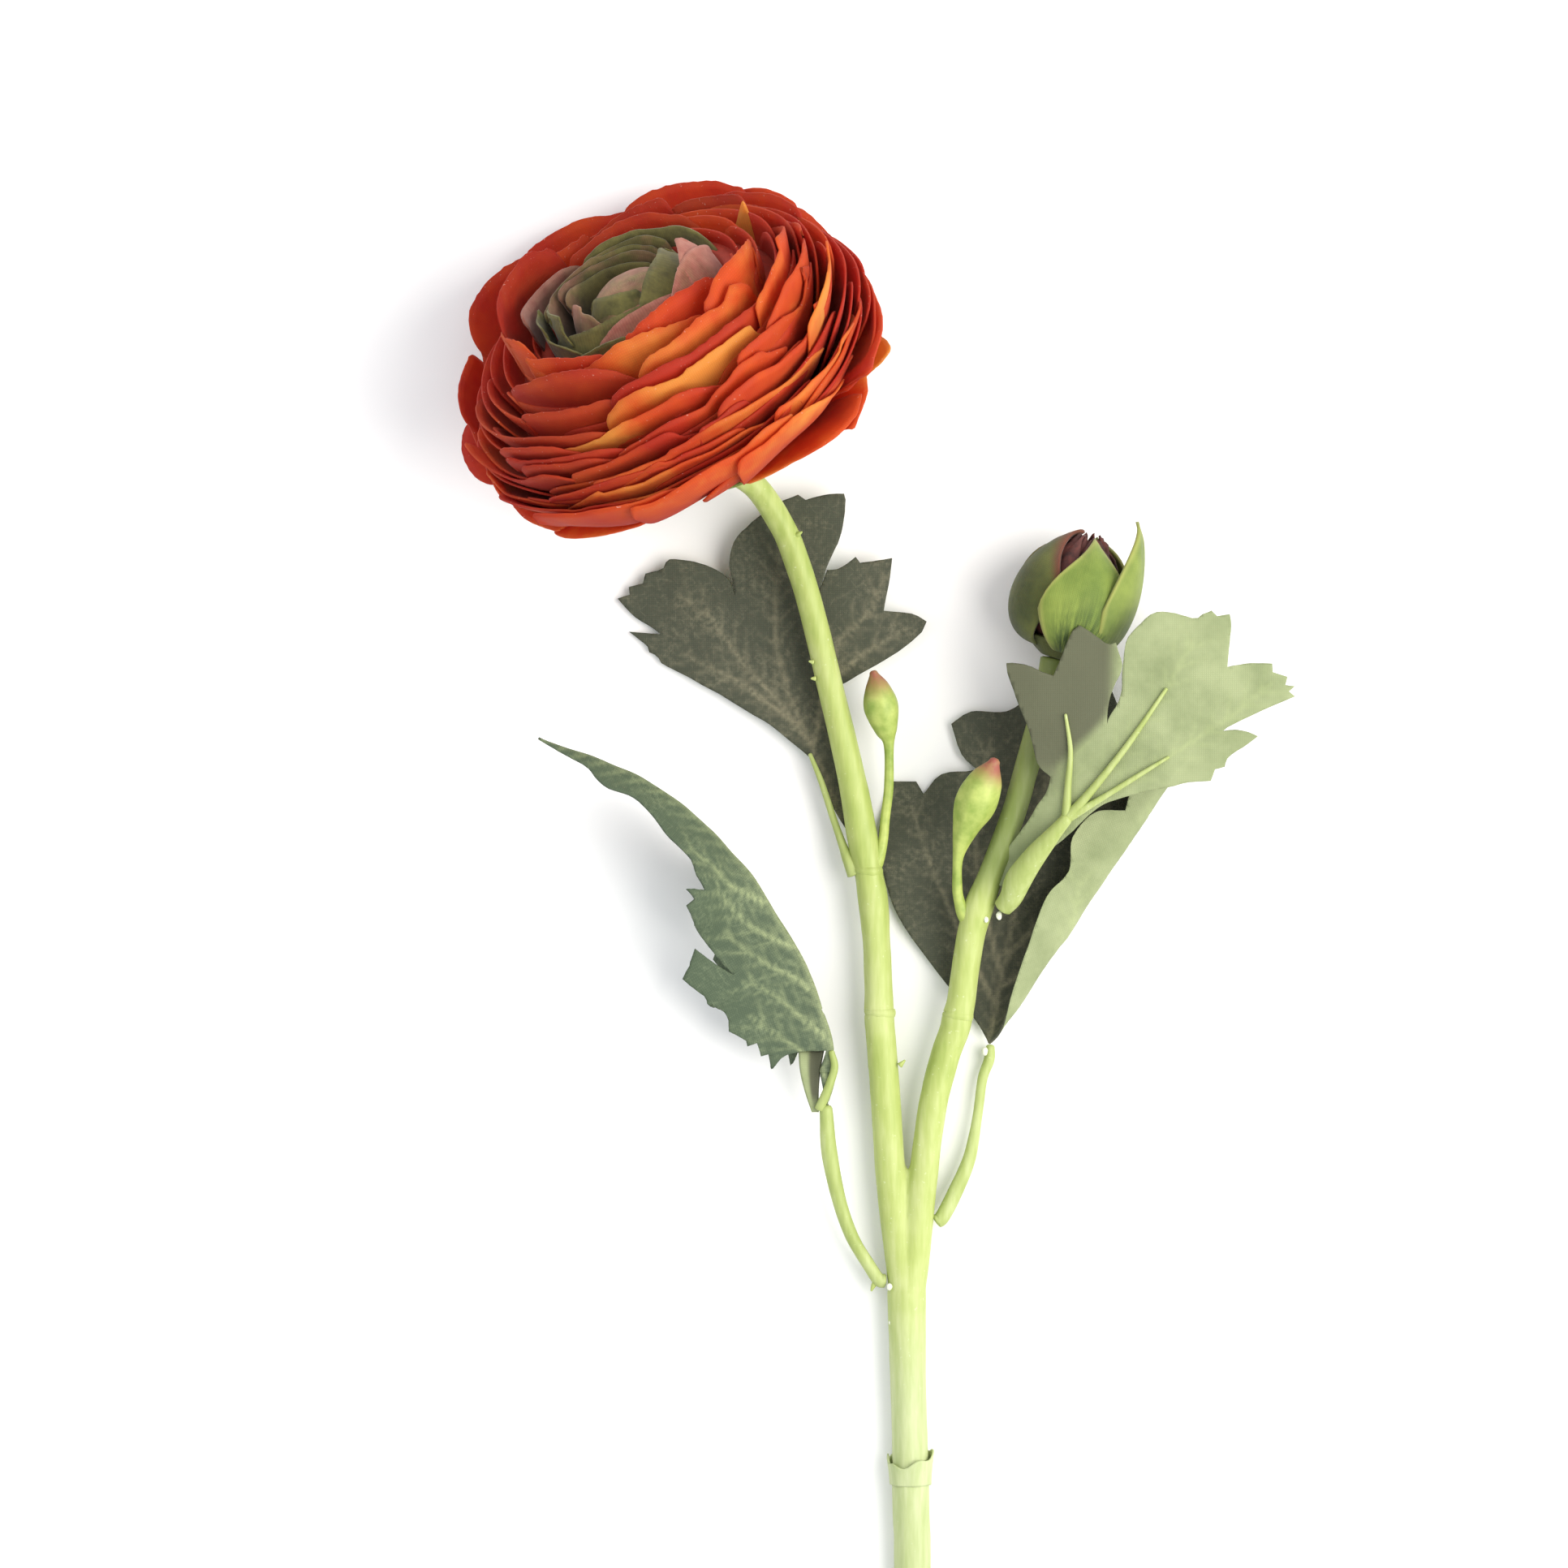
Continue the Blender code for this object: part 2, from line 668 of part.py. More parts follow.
def place_back(x, y):
    """The back leaf lies on the surface, with its right side rolled up and over."""
    past = (Vector((x, y)) - Vector(ROLL_FROM)).dot(ROLL_OUT)
    left, foot = LEAF_BACK_PLACE
    height = 1.6 + 0.5 * math.sin(0.16 * x + 0.11 * y)
    if past <= 0:
        return left + x, foot + y, height
    angle = min(past / ROLL_RADIUS, ROLL_MOST)
    beyond = past - angle * ROLL_RADIUS
    shift = ROLL_RADIUS * math.sin(angle) + beyond * math.cos(angle) - past
    rise = ROLL_RADIUS * (1 - math.cos(angle)) + beyond * math.sin(angle)
    return left + x + ROLL_OUT.x * shift, foot + y + ROLL_OUT.y * shift, height + rise


LEFT_ROUTE = [Vector(point) for point in smooth_path(LEFT_MIDRIB, 4)]
LEFT_STEPS = [(b - a).length for a, b in zip(LEFT_ROUTE, LEFT_ROUTE[1:])]
LEFT_LENGTH = sum(LEFT_STEPS)


def place_left(distance, out):
    """The left leaf hangs on both sides of its midrib, the near side towards +Z."""
    left_over = min(max(distance, 0), LEFT_LENGTH - 1e-6)
    step = 0
    while left_over > LEFT_STEPS[step]:
        left_over -= LEFT_STEPS[step]
        step += 1
    start, end = LEFT_ROUTE[step], LEFT_ROUTE[step + 1]
    spot = start.lerp(end, left_over / LEFT_STEPS[step])
    along = (end - start).normalized()
    side = Vector((0, 0, 1)).cross(along).normalized()
    turned_share = ease(distance, *LEFT_TURN)
    angles = LEFT_NEAR_RISE if out >= 0 else LEFT_FAR_DROP
    angle = blend(*angles, turned_share)
    reach = abs(out)
    spot += side * math.cos(angle) * reach + Vector((0, 0, 1)) * math.sin(angle) * reach
    return tuple(spot)


def left_margin():
    """The whole margin of the left leaf, out along its near side and back along its far side."""
    near = list(LEFT_HALF_MARGIN)
    far = [(along, -LEFT_FAR_SHARE * out) for along, out in reversed(near)]
    return [(0, 0), *near, (LEFT_LENGTH - 0.5, 0), *far]


def make_leaf(name, margin, cuts, place, stalk, ribs, materials, collection):
    """A leaf of two pieces: the blade, and the stalk with the ribs it carries."""
    leaf_blade(f"{name}_blade", margin, cuts, place, materials[0], collection)
    petiole = tube(f"{name}_stalk", stalk, materials[1], collection, resolution=2)
    arms = []
    for k, rib in enumerate(ribs):
        points = []
        for x, y, lift, radius in rib:
            spot = place(x, y)
            points.append((spot[0], spot[1], spot[2] + lift, radius))
        arms.append(tube(f"{name}_rib_{k}", points, materials[1], collection, 2, 1))
    if arms:
        fuse(petiole, arms)


def make_stems(material, collection):
    """The stems above the fork's two sleeves, and the two small buds on their thin stalks."""
    frame = bloom_frame()
    top = []
    for z in (CALYX_FOOT - CLEARANCE, CALYX_FOOT - 4.5):
        top.append((*(frame @ Vector((0, 0, z * MM)) / MM), BLOOM_STEM_PATH[0][3]))
    tube("bloom_stem", [*top, *BLOOM_STEM_PATH], material, collection)
    tube("bud_stem", BUD_STEM_PATH, material, collection)
    tube("small_bud_upper", SMALL_BUD_UPPER_PATH, material, collection)
    tube("small_bud_lower", SMALL_BUD_LOWER_PATH, material, collection)


def make_leaves(materials, collection):
    """The leaves, each with the cuts that let its blade bend."""
    roll_start = Vector(ROLL_FROM).dot(ROLL_OUT)
    roll_end = roll_start + ROLL_MOST * ROLL_RADIUS
    roll = [*lines(roll_start, roll_end, 2, ROLL_OUT), *lines(-24, -8, 8, ROLL_OUT)]
    make_leaf(
        "leaf_upper",
        LEAF_UPPER_MARGIN,
        [*lines(-26, 13, 13, (1, 0)), *lines(-13, 26, 13, (0, 1))],
        place_upper,
        LEAF_UPPER_STALK,
        (),
        materials,
        collection,
    )
    make_leaf(
        "leaf_left",
        left_margin(),
        [*lines(0, 0, 1, (0, 1)), *lines(6, 90, 7, (1, 0))],
        place_left,
        LEAF_LEFT_STALK,
        (),
        materials,
        collection,
    )
    make_leaf(
        "leaf_back",
        LEAF_BACK_MARGIN,
        [*roll, *lines(-24, 36, 12, ROLL_ALONG)],
        place_back,
        LEAF_BACK_STALK,
        (),
        materials,
        collection,
    )
    make_leaf(
        "leaf_front",
        LEAF_FRONT_MARGIN,
        lines(-13, 32, 9, (0.7, 0.72)),
        place_front,
        LEAF_FRONT_STALK,
        LEAF_FRONT_RIBS,
        materials,
        collection,
    )


def make_bud(sepal_material, petal_material, collection):
    """The large bud: overlapping sepals on a cup, closed round a dark core of petals."""
    base, top = Vector(BUD_BASE), Vector(BUD_TOP)
    axis = top - base
    height = axis.length
    place = Matrix.Translation(base * MM) @ axis.to_track_quat("Z", "Y").to_matrix().to_4x4()
    inner = BUD_RADIUS - BUD_CORE_GAP
    core = [
        (0, height - 1.5),
        (1.6, height - 3),
        (3.6, height * 0.82),
        (0.8 * inner, height * 0.66),
        (inner, height * 0.45),
        (0.82 * inner, height * 0.2),
        (4.2, 2.6),
        (0, 2.6),
    ]
    turned("bud_petals", core, 14, place, petal_material, collection)
    cup = [
        (0, 2.2),
        (3.9, 2.2),
        (0.82 * inner + 0.4, height * 0.2),
        (0.82 * inner + 1.3, height * 0.2),
        (5.2, 1.6),
        (2.8, 0),
        (0, 0),
    ]
    sepals = turned("bud_sepals", cup, 14, place, sepal_material, collection)
    pieces = []
    for k, (heading, half_angle, out, tip_radius, tip_height, point) in enumerate(BUD_SEPALS):
        run = (
            (5.6, 2.4),
            (BUD_RADIUS * 1.1 + out, height * 0.1),
            (BUD_RADIUS * 1.1 + out, height * 0.8),
            (tip_radius, tip_height),
        )
        shape = petal_shape(
            run,
            math.radians(heading),
            math.radians(half_angle),
            BUD_SEPAL_TURN,
            0.03,
            point,
            0,
            0,
            blunt=1.6,
        )
        piece = blade(
            f"sepal_{k}", 4, 5, shape, BUD_SEPAL_THICKNESS, sepal_material, collection
        )
        piece.data.transform(place)
        pieces.append(piece)
    fuse(sepals, pieces, "MANIFOLD")


def cut_flat(obj, cutters):
    """Takes off what reaches below the surface, which leaves a small flat spot."""
    bpy.ops.mesh.primitive_cube_add(size=0.4, location=(0, 0.1, -0.2))
    block = bpy.context.object
    block.name = "surface_cutter"
    for collection in list(block.users_collection):
        collection.objects.unlink(block)
    cutters.objects.link(block)
    block.hide_render = True
    block.display_type = "WIRE"
    cut = obj.modifiers.new("flat_spot", "BOOLEAN")
    cut.operation = "DIFFERENCE"
    cut.solver = "MANIFOLD"
    cut.object = block


def main():
    clear_scene()
    spray = make_collection(SPRAY)
    cutters = make_collection("cutters")
    stem_green = make_material("stem_green", (0.62, 0.72, 0.28), 0.5)
    leaf_green = make_material("leaf_green", (0.13, 0.15, 0.09), 0.85)
    petal_orange = make_material("petal_orange", (0.80, 0.13, 0.03), 0.8)
    heart_olive = make_material("heart_olive", (0.22, 0.20, 0.06), 0.8)
    calyx_green = make_material("calyx_green", (0.12, 0.22, 0.05), 0.7)
    sepal_green = make_material("sepal_green", (0.25, 0.36, 0.05), 0.7)
    bud_dark = make_material("bud_dark", (0.07, 0.03, 0.03), 0.8)

    stalk = tube("stalk", STALK_PATH, stem_green, spray, resolution=4)
    branches = [
        tube("bloom_branch", BLOOM_BRANCH_PATH, stem_green, spray),
        tube("bud_branch", BUD_BRANCH_PATH, stem_green, spray),
    ]
    fuse(stalk, branches)
    make_stems(stem_green, spray)
    make_leaves((leaf_green, stem_green), spray)
    make_bud(sepal_green, bud_dark, spray)
    petals = make_bloom_petals(petal_orange, spray)
    cut_flat(petals, cutters)
    make_bloom_heart(heart_olive, spray)
    make_calyx(calyx_green, spray)


main()
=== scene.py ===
# Ranunculus spray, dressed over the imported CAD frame.
# Lengths in the dictionaries are in millimetres and angles in degrees.
import math
import random

import bmesh
import bpy
from mathutils import Matrix, Vector, noise


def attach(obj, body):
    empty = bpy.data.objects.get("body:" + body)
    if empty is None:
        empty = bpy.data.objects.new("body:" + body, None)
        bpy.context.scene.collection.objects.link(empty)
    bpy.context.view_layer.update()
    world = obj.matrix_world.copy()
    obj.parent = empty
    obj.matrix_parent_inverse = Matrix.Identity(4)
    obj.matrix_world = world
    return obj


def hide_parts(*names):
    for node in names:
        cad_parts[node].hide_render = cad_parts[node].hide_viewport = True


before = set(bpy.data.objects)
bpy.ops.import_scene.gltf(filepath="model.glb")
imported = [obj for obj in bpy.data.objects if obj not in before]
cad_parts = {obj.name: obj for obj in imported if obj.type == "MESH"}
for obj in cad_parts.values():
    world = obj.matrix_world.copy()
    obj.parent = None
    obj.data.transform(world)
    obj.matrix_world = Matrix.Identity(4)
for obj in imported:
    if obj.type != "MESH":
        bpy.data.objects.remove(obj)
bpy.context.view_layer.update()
mm = 0.001
up = Vector((0, 0, 1))


# floor, light and camera
stage = {
    "floor": 6000,
    "paper": (0.9, 0.93),
    "room": 0.9,
    "roomColour": (0.96, 0.98, 1.0, 1),
    "aim": (-10, 90, 20),
    "lamps": {
        "key": {"from": (520, 60, 640), "size": 760, "power": 8.4, "colour": (1.0, 0.96, 0.9)},
        "fill": {"from": (-500, 500, 700), "size": 700, "power": 1.6, "colour": (0.93, 0.96, 1.0)},
    },
    "cameraAt": (-18.4, 60.5, 1045.4),
    "lens": 120.0,
    "sensor": 36.0,
    "pixels": 1932,
}
photoPixel = stage["sensor"] / stage["lens"] / stage["pixels"]  # how wide a pixel is for each millimetre of distance


# small helpers

def blend(low, high, share):
    return low + (high - low) * share


def ease(value, start, end):
    share = min(1, max(0, (value - start) / (end - start)))
    return share * share * (3 - 2 * share)


def grain(x, y, z, size):  # smooth noise from -1 to 1, size is the width of its bumps
    return noise.noise(Vector((x, y, z)) / size)


def smoothRoute(points, perSpan):
    route = [Vector(p) for p in points]
    route = [route[0] * 2 - route[1], *route, route[-1] * 2 - route[-2]]
    found = []
    for a, b, c, d in zip(route, route[1:], route[2:], route[3:]):
        for step in range(perSpan):
            t = step / perSpan
            found.append(
                0.5 * (2 * b + (c - a) * t + (2 * a - 5 * b + 4 * c - d) * t * t + (3 * b - a - 3 * c + d) * t**3)
            )
    return [*found, route[-2]]


# node building

def startMaterial(name, **finish):
    material = bpy.data.materials.new(name)
    material.use_nodes = True
    shader = material.node_tree.nodes["Principled BSDF"]
    for socket, value in finish.items():
        shader.inputs[socket.replace("_", " ")].default_value = value
    return material, shader


def addNode(material, kind, inputs=(), **settings):
    node = material.node_tree.nodes.new("ShaderNode" + kind)
    for key, value in settings.items():
        setattr(node, key, value)
    for socket, value in dict(inputs).items():
        if isinstance(value, bpy.types.NodeSocket):
            material.node_tree.links.new(value, node.inputs[socket])
        else:
            node.inputs[socket].default_value = value
    return node


def place(material, space="Object", scale=(1, 1, 1), turn=0):  # where a pattern is read
    coordinates = addNode(material, "TexCoord")
    return addNode(
        material, "Mapping", {"Vector": coordinates.outputs[space], "Scale": scale, "Rotation": (0, 0, turn)}
    ).outputs["Vector"]


def cloud(material, where, size, detail=4.0, rough=0.6):  # noise whose bumps are size metres wide
    node = addNode(material, "TexNoise", {"Vector": where, "Scale": 1 / size, "Detail": detail, "Roughness": rough})
    return node.outputs["Fac"]


def ramp(material, factor, *stops):
    node = addNode(material, "ValToRGB", {"Fac": factor})
    bar = node.color_ramp.elements
    while len(bar) < len(stops):
        bar.new(0.5)
    for element, (spot, colour) in zip(bar, stops):
        element.position = spot
        element.color = colour
    return node.outputs["Color"]


def limits(material, value, low, high, start=0.0, end=1.0):
    node = addNode(material, "MapRange", {0: value, 1: low, 2: high, 3: start, 4: end})
    return node.outputs[0]


def plus(material, a, b):
    return addNode(material, "Math", {0: a, 1: b}, operation="ADD").outputs[0]


def times(material, a, b):
    return addNode(material, "Math", {0: a, 1: b}, operation="MULTIPLY", use_clamp=True).outputs[0]


def mixColour(material, share, a, b, kind="MIX"):
    node = addNode(material, "Mix", data_type="RGBA", blend_type=kind)
    for index, value in ((0, share), (6, a), (7, b)):
        if isinstance(value, bpy.types.NodeSocket):
            material.node_tree.links.new(value, node.inputs[index])
        else:
            node.inputs[index].default_value = value
    return node.outputs[2]


def marks(material, name):  # a value that the mesh carries at each vertex
    return addNode(material, "Attribute", attribute_type="GEOMETRY", attribute_name=name).outputs["Fac"]


def relief(material, shader, height, strength, distance):
    bump = addNode(material, "Bump", {"Height": height, "Strength": strength, "Distance": distance})
    material.node_tree.links.new(bump.outputs["Normal"], shader.inputs["Normal"])


def weave(material, pitch):  # threads across and along the piece's own map, whose unit is 0.1 m
    bands = []
    for turn in (0, math.pi / 2):
        where = place(material, "UV", turn=turn)
        wave = addNode(
            material, "TexWave", {"Vector": where, "Scale": 0.314 / pitch * 0.1, "Distortion": 0.6, "Detail": 1.0}
        )
        bands.append(wave.outputs["Fac"])
    return times(material, *bands)


def woven(material, colour, pitch, share, gap, kind="MIX"):  # cloth, darker in the gaps between its threads
    cloth = weave(material, pitch)
    return cloth, mixColour(material, limits(material, cloth, 0, 1, share, 0.0), colour, gap, kind)


def letThrough(material, shader, colour, share):  # thin cloth glows with the light behind it
    glow = addNode(material, "BsdfTranslucent", {"Color": colour})
    mixed = addNode(material, "MixShader", {0: share, 1: shader.outputs[0], 2: glow.outputs[0]})
    output = material.node_tree.nodes["Material Output"]
    material.node_tree.links.new(mixed.outputs[0], output.inputs["Surface"])


def wire(material, output, shader, socket):
    material.node_tree.links.new(output, shader.inputs[socket])


def dressed(material, shader, colour, height, strength, depth=0.0003, glow=0.0):  # the last links that all share
    wire(material, colour, shader, "Base Color")
    relief(material, shader, height, strength, depth)
    if glow:
        letThrough(material, shader, colour, glow)
    return material


# mesh building

def intoScene(name, data):
    thing = bpy.data.objects.new(name, data)
    bpy.context.scene.collection.objects.link(thing)
    return thing


def meshObject(name, bm, materials=()):
    mesh = bpy.data.meshes.new(name)
    bm.to_mesh(mesh)
    bm.free()
    for material in materials:
        mesh.materials.append(material)
    return intoScene(name, mesh)


def finishPiece(name, bm, materials, node=None, wall=0.0, sides=False):
    for face in bm.faces:
        face.smooth = True
    piece = meshObject(name, bm, materials)
    if wall:
        solid = piece.modifiers.new("wall", "SOLIDIFY")
        solid.thickness = wall * mm
        solid.offset = 0
        solid.material_offset = int(sides)
    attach(piece, "root")
    if node:
        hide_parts(node)
    return piece


def addSheet(bm, across, along, shape, flatSize, values=None):  # shapes read u from -1 to 1 and v from 0 to 1
    made = bmesh.ops.create_grid(bm, x_segments=across, y_segments=along, size=1, calc_uvs=True)["verts"]
    layers = {name: bm.verts.layers.float.get(name) or bm.verts.layers.float.new(name) for name in values or {}}
    for vert in made:
        u, v = vert.co.x, (vert.co.y + 1) / 2
        for name, layer in layers.items():
            vert[layer] = values[name](u, v)
        vert.co = Vector(shape(u, v)) * mm
    uv = bm.loops.layers.uv.active
    for face in {face for vert in made for face in vert.link_faces}:
        for loop in face.loops:  # the piece's own map is in units of 0.1 m
            loop[uv].uv = (loop[uv].uv.x * flatSize[0] / 100, loop[uv].uv.y * flatSize[1] / 100)
    return made


def newMesh(*layers):
    bm = bmesh.new()
    bm.loops.layers.uv.new("map")
    for name in layers:
        bm.verts.layers.float.new(name)
    return bm


def carryRings(points, perSpan, capStart=0.5, capEnd=0.5):  # rings of a round stem, closed at both ends
    route = smoothRoute(points, perSpan)
    spots = [Vector(p[:3]) for p in route]
    rings = []
    side = None
    for k, (spot, full) in enumerate(zip(spots, route)):
        along = (spots[min(k + 1, len(spots) - 1)] - spots[max(k - 1, 0)]).normalized()
        if side is None:
            side = along.cross(up).normalized()
        side = (side - along * side.dot(along)).normalized()
        rings.append((spot, full[3], side, along.cross(side), along))
    ends = []
    for ring, sign, cap in ((rings[0], -1, capStart), (rings[-1], 1, capEnd)):
        spot, radius, a, b, along = ring
        reach = radius * cap * sign
        ends.append(
            [
                (spot + along * reach, 0.0, a, b, along),
                (spot + along * reach * 0.94, radius * 0.45, a, b, along),
                (spot + along * reach * 0.62, radius * 0.82, a, b, along),
            ]
        )
    return [*ends[0], *rings, *reversed(ends[1])]


def addStem(bm, points, sides=20, perSpan=6, capStart=0.3, capEnd=0.3, lumps=0.02, flutes=0.015):
    rings = carryRings(points, perSpan, capStart, capEnd)
    last = len(rings) - 1
    length = sum((b[0] - a[0]).length for a, b in zip(rings, rings[1:]))

    def shape(u, v):
        spot, radius, a, b, along = rings[round(v * last)]
        angle = math.pi * u
        out = a * math.cos(angle) + b * math.sin(angle)
        tip = spot + out * radius
        size = 1 + lumps * grain(*tip, 3.5) + flutes * math.cos(7 * angle + 0.05 * spot.y)
        return spot + out * radius * size

    made = addSheet(bm, sides, last, shape, (2 * math.pi * 3, length))
    bmesh.ops.remove_doubles(bm, verts=made, dist=1e-7)


def joined(bm, voxel, rounds):  # melts overlapping stems into one skin
    helper = meshObject("melt", bm)
    skin = helper.modifiers.new("skin", "REMESH")
    skin.mode = "VOXEL"
    skin.voxel_size = voxel * mm
    graph = bpy.context.evaluated_depsgraph_get()
    melted = bmesh.new()
    melted.from_mesh(helper.evaluated_get(graph).data)
    bpy.data.objects.remove(helper, do_unlink=True)
    for _ in range(rounds):
        axes = {"use_axis_" + axis: True for axis in "xyz"}
        bmesh.ops.smooth_vert(melted, verts=melted.verts, factor=0.5, **axes)
    return melted


# materials

colours = {  # as a screen shows them, 0 to 255
    "stem": ((176, 190, 108), (146, 166, 74), (204, 212, 148)),  # base, shade and pale streaks
    "stalk": ((178, 192, 116), (150, 168, 82), (206, 216, 156)),
    "stemMarks": ((226, 232, 196), (88, 108, 48), (158, 176, 116), (214, 220, 184)),  # specks, a dark green for painted shade, bleached
    "leaf": ((76, 80, 64), (122, 120, 98), (156, 150, 122)),  # dark, light and veins
    "foldedLeaf": ((84, 100, 76), (124, 138, 106), (182, 194, 142)),
    "calyx": ((92, 112, 44), (140, 156, 74), (166, 178, 96)),
    "leafBack": ((170, 180, 134), (136, 148, 104), (184, 198, 136)),  # base, shade and veins
    "leafMarks": ((30, 32, 24), (92, 94, 72)),  # gaps in the weave, and a shaded lobe
    "petal": ((206, 54, 24), (232, 100, 34), (248, 174, 74), (154, 42, 25)),  # red, orange, gold, and a dark red for painted shade and the weave's gaps
    "fray": ((246, 206, 184),),
    "core": ((140, 40, 26), (176, 56, 34)),
    "heartOlive": ((92, 88, 38), (140, 132, 66)),
    "heartMauve": ((186, 108, 92), (216, 148, 126)),
    "heartMarks": ((58, 46, 32), (64, 50, 36)),  # painted shade for the depth between petals, and gaps in the weave
    "sepalOlive": ((70, 78, 34), (116, 122, 52)),
    "sepalFresh": ((118, 146, 52), (158, 180, 78)),
    "sepalMarks": ((50, 76, 24), (214, 208, 120), (122, 62, 44), (56, 64, 26)),  # streaks, edge, blush, gaps
    "smallBud": ((128, 152, 62), (182, 194, 104), (150, 84, 70)),  # base, light and tip
    "bud": ((44, 22, 22), (104, 52, 44)),
    "glue": ((206, 210, 186), (238, 240, 226)),
}


def tints(name):  # the colours of one finish, made linear
    return [(*(((c / 255 + 0.055) / 1.055) ** 2.4 for c in colour), 1) for colour in colours[name]]


def makeStemGreen(name, base, shade, pale, glow):
    material, shader = startMaterial(name, Roughness=0.48, IOR=1.45)
    specks, dark, *worn = tints("stemMarks")
    streak = cloud(material, place(material, scale=(1, 0.12, 1)), 0.0016, 3)
    patch = cloud(material, place(material), 0.02, 3)
    patches = limits(material, patch, 0.3, 0.7, -0.12, 0.12)
    warmth = plus(material, limits(material, streak, 0.3, 0.7, 0.4, 0.6), patches)
    colour = ramp(material, warmth, (0.25, shade), (0.5, base), (0.75, pale))
    speck = limits(material, cloud(material, place(material), 0.0009, 2), 0.68, 0.76)
    colour = mixColour(material, times(material, speck, 0.4), colour, specks)
    # painted shade: the bud's stem is darkened above its node, where it stands in shadow
    colour = mixColour(material, marks(material, "paintedShade"), colour, mixColour(material, 0.25, dark, colour))
    colour = mixColour(material, marks(material, "bleach"), colour, mixColour(material, streak, *worn))
    wire(material, limits(material, patch, 0.2, 0.8, 0.4, 0.6), shader, "Roughness")
    return dressed(material, shader, colour, streak, 0.12, glow=glow)


def makeLeafFace(name, dark, light, rib, share=0.9):  # printed cloth: mottled, with pale veins
    material, shader = startMaterial(name, Roughness=0.82)
    wide = cloud(material, place(material, "UV"), 0.09, 5, 0.65)
    fine = cloud(material, place(material, "UV"), 0.011, 4, 0.7)
    mottle = times(material, limits(material, wide, 0.42, 0.66), limits(material, fine, 0.42, 0.72))
    colour = mixColour(material, mottle, dark, light)
    cells = {"Vector": place(material, "UV"), "Scale": 42.0, "Randomness": 1.0}
    net = addNode(material, "TexVoronoi", cells, feature="DISTANCE_TO_EDGE").outputs["Distance"]
    thread = times(material, limits(material, net, 0.0, 0.05, 0.4, 0.0), limits(material, fine, 0.42, 0.62))
    colour = mixColour(material, thread, colour, light)
    vein = times(material, marks(material, "vein"), limits(material, fine, 0.2, 0.55, 0.35, 1.0))
    colour = mixColour(material, times(material, vein, share), colour, rib)
    colour = mixColour(material, marks(material, "pale"), colour, mixColour(material, 0.6, colour, rib))
    cloth, colour = woven(material, colour, 0.00042, 0.22, tints("leafMarks")[0], "MULTIPLY")
    height = plus(material, times(material, cloth, 0.35), vein)
    return dressed(material, shader, colour, height, 0.35, glow=0.12)


def makeLeafBack(name, base, shade, rib):
    material, shader = startMaterial(name, Roughness=0.78)
    wide = cloud(material, place(material, "UV"), 0.12, 4)
    colour = ramp(material, wide, (0.32, shade), (0.62, base))
    cloth, colour = woven(material, colour, 0.00042, 0.3, shade)
    vein = marks(material, "vein")
    colour = mixColour(material, times(material, vein, 0.5), colour, rib)
    # painted shade: the front leaf's folded left lobe and one side of the left leaf's sheath are darkened where they
    # lie in shadow
    colour = mixColour(material, marks(material, "paintedShade"), colour, tints("leafMarks")[1])
    height = plus(material, times(material, cloth, 0.4), vein)
    return dressed(material, shader, colour, height, 0.3, glow=0.15)


def makePetalCloth(name, red, orange, gold, dark, glow):
    material, shader = startMaterial(name, Roughness=0.78, Sheen_Weight=0.04, Sheen_Roughness=0.5)
    wide = cloud(material, place(material), 0.016, 3, 0.5)
    fine = cloud(material, place(material), 0.0035, 4, 0.6)
    warmth = plus(material, marks(material, "gold"), limits(material, wide, 0.3, 0.7, -0.22, 0.22))
    warmth = plus(material, warmth, limits(material, fine, 0.3, 0.7, -0.05, 0.05))
    colour = ramp(material, warmth, (0.12, red), (0.5, orange), (0.88, gold))
    # painted shade: petals darken towards their roots deep inside the bloom, and on the bloom's shaded side
    colour = mixColour(material, marks(material, "paintedDepthShade"), colour, dark)
    cloth, colour = woven(material, colour, 0.00036, 0.16, dark)
    speck = limits(material, cloud(material, place(material), 0.0007, 2), 0.68, 0.76)
    dust = times(material, speck, marks(material, "edge"))
    colour = mixColour(material, times(material, dust, 0.7), colour, *tints("fray"))
    wire(material, limits(material, fine, 0.2, 0.8, 0.6, 0.85), shader, "Roughness")
    return dressed(material, shader, colour, plus(material, times(material, cloth, 0.3), fine), 0.25, glow=glow)


def makeHeartCloth():
    material, shader = startMaterial("heartCloth", Roughness=0.78, Sheen_Weight=0.2)
    fine = cloud(material, place(material), 0.0028, 4, 0.6)
    wide = cloud(material, place(material), 0.009, 3)
    olive, mauve = (ramp(material, fine, *zip((0.3, 0.7), tints(name))) for name in ("heartOlive", "heartMauve"))
    depth, gaps = tints("heartMarks")
    share = plus(material, marks(material, "mauve"), limits(material, wide, 0.35, 0.65, -0.25, 0.25))
    colour = mixColour(material, limits(material, share, 0.2, 0.8), olive, mauve)
    # painted shade, darkest deep between the heart's petals
    colour = mixColour(material, marks(material, "paintedDepthShade"), colour, depth)
    cloth, colour = woven(material, colour, 0.00034, 0.22, gaps)
    return dressed(material, shader, colour, plus(material, times(material, cloth, 0.3), fine), 0.3, glow=0.2)


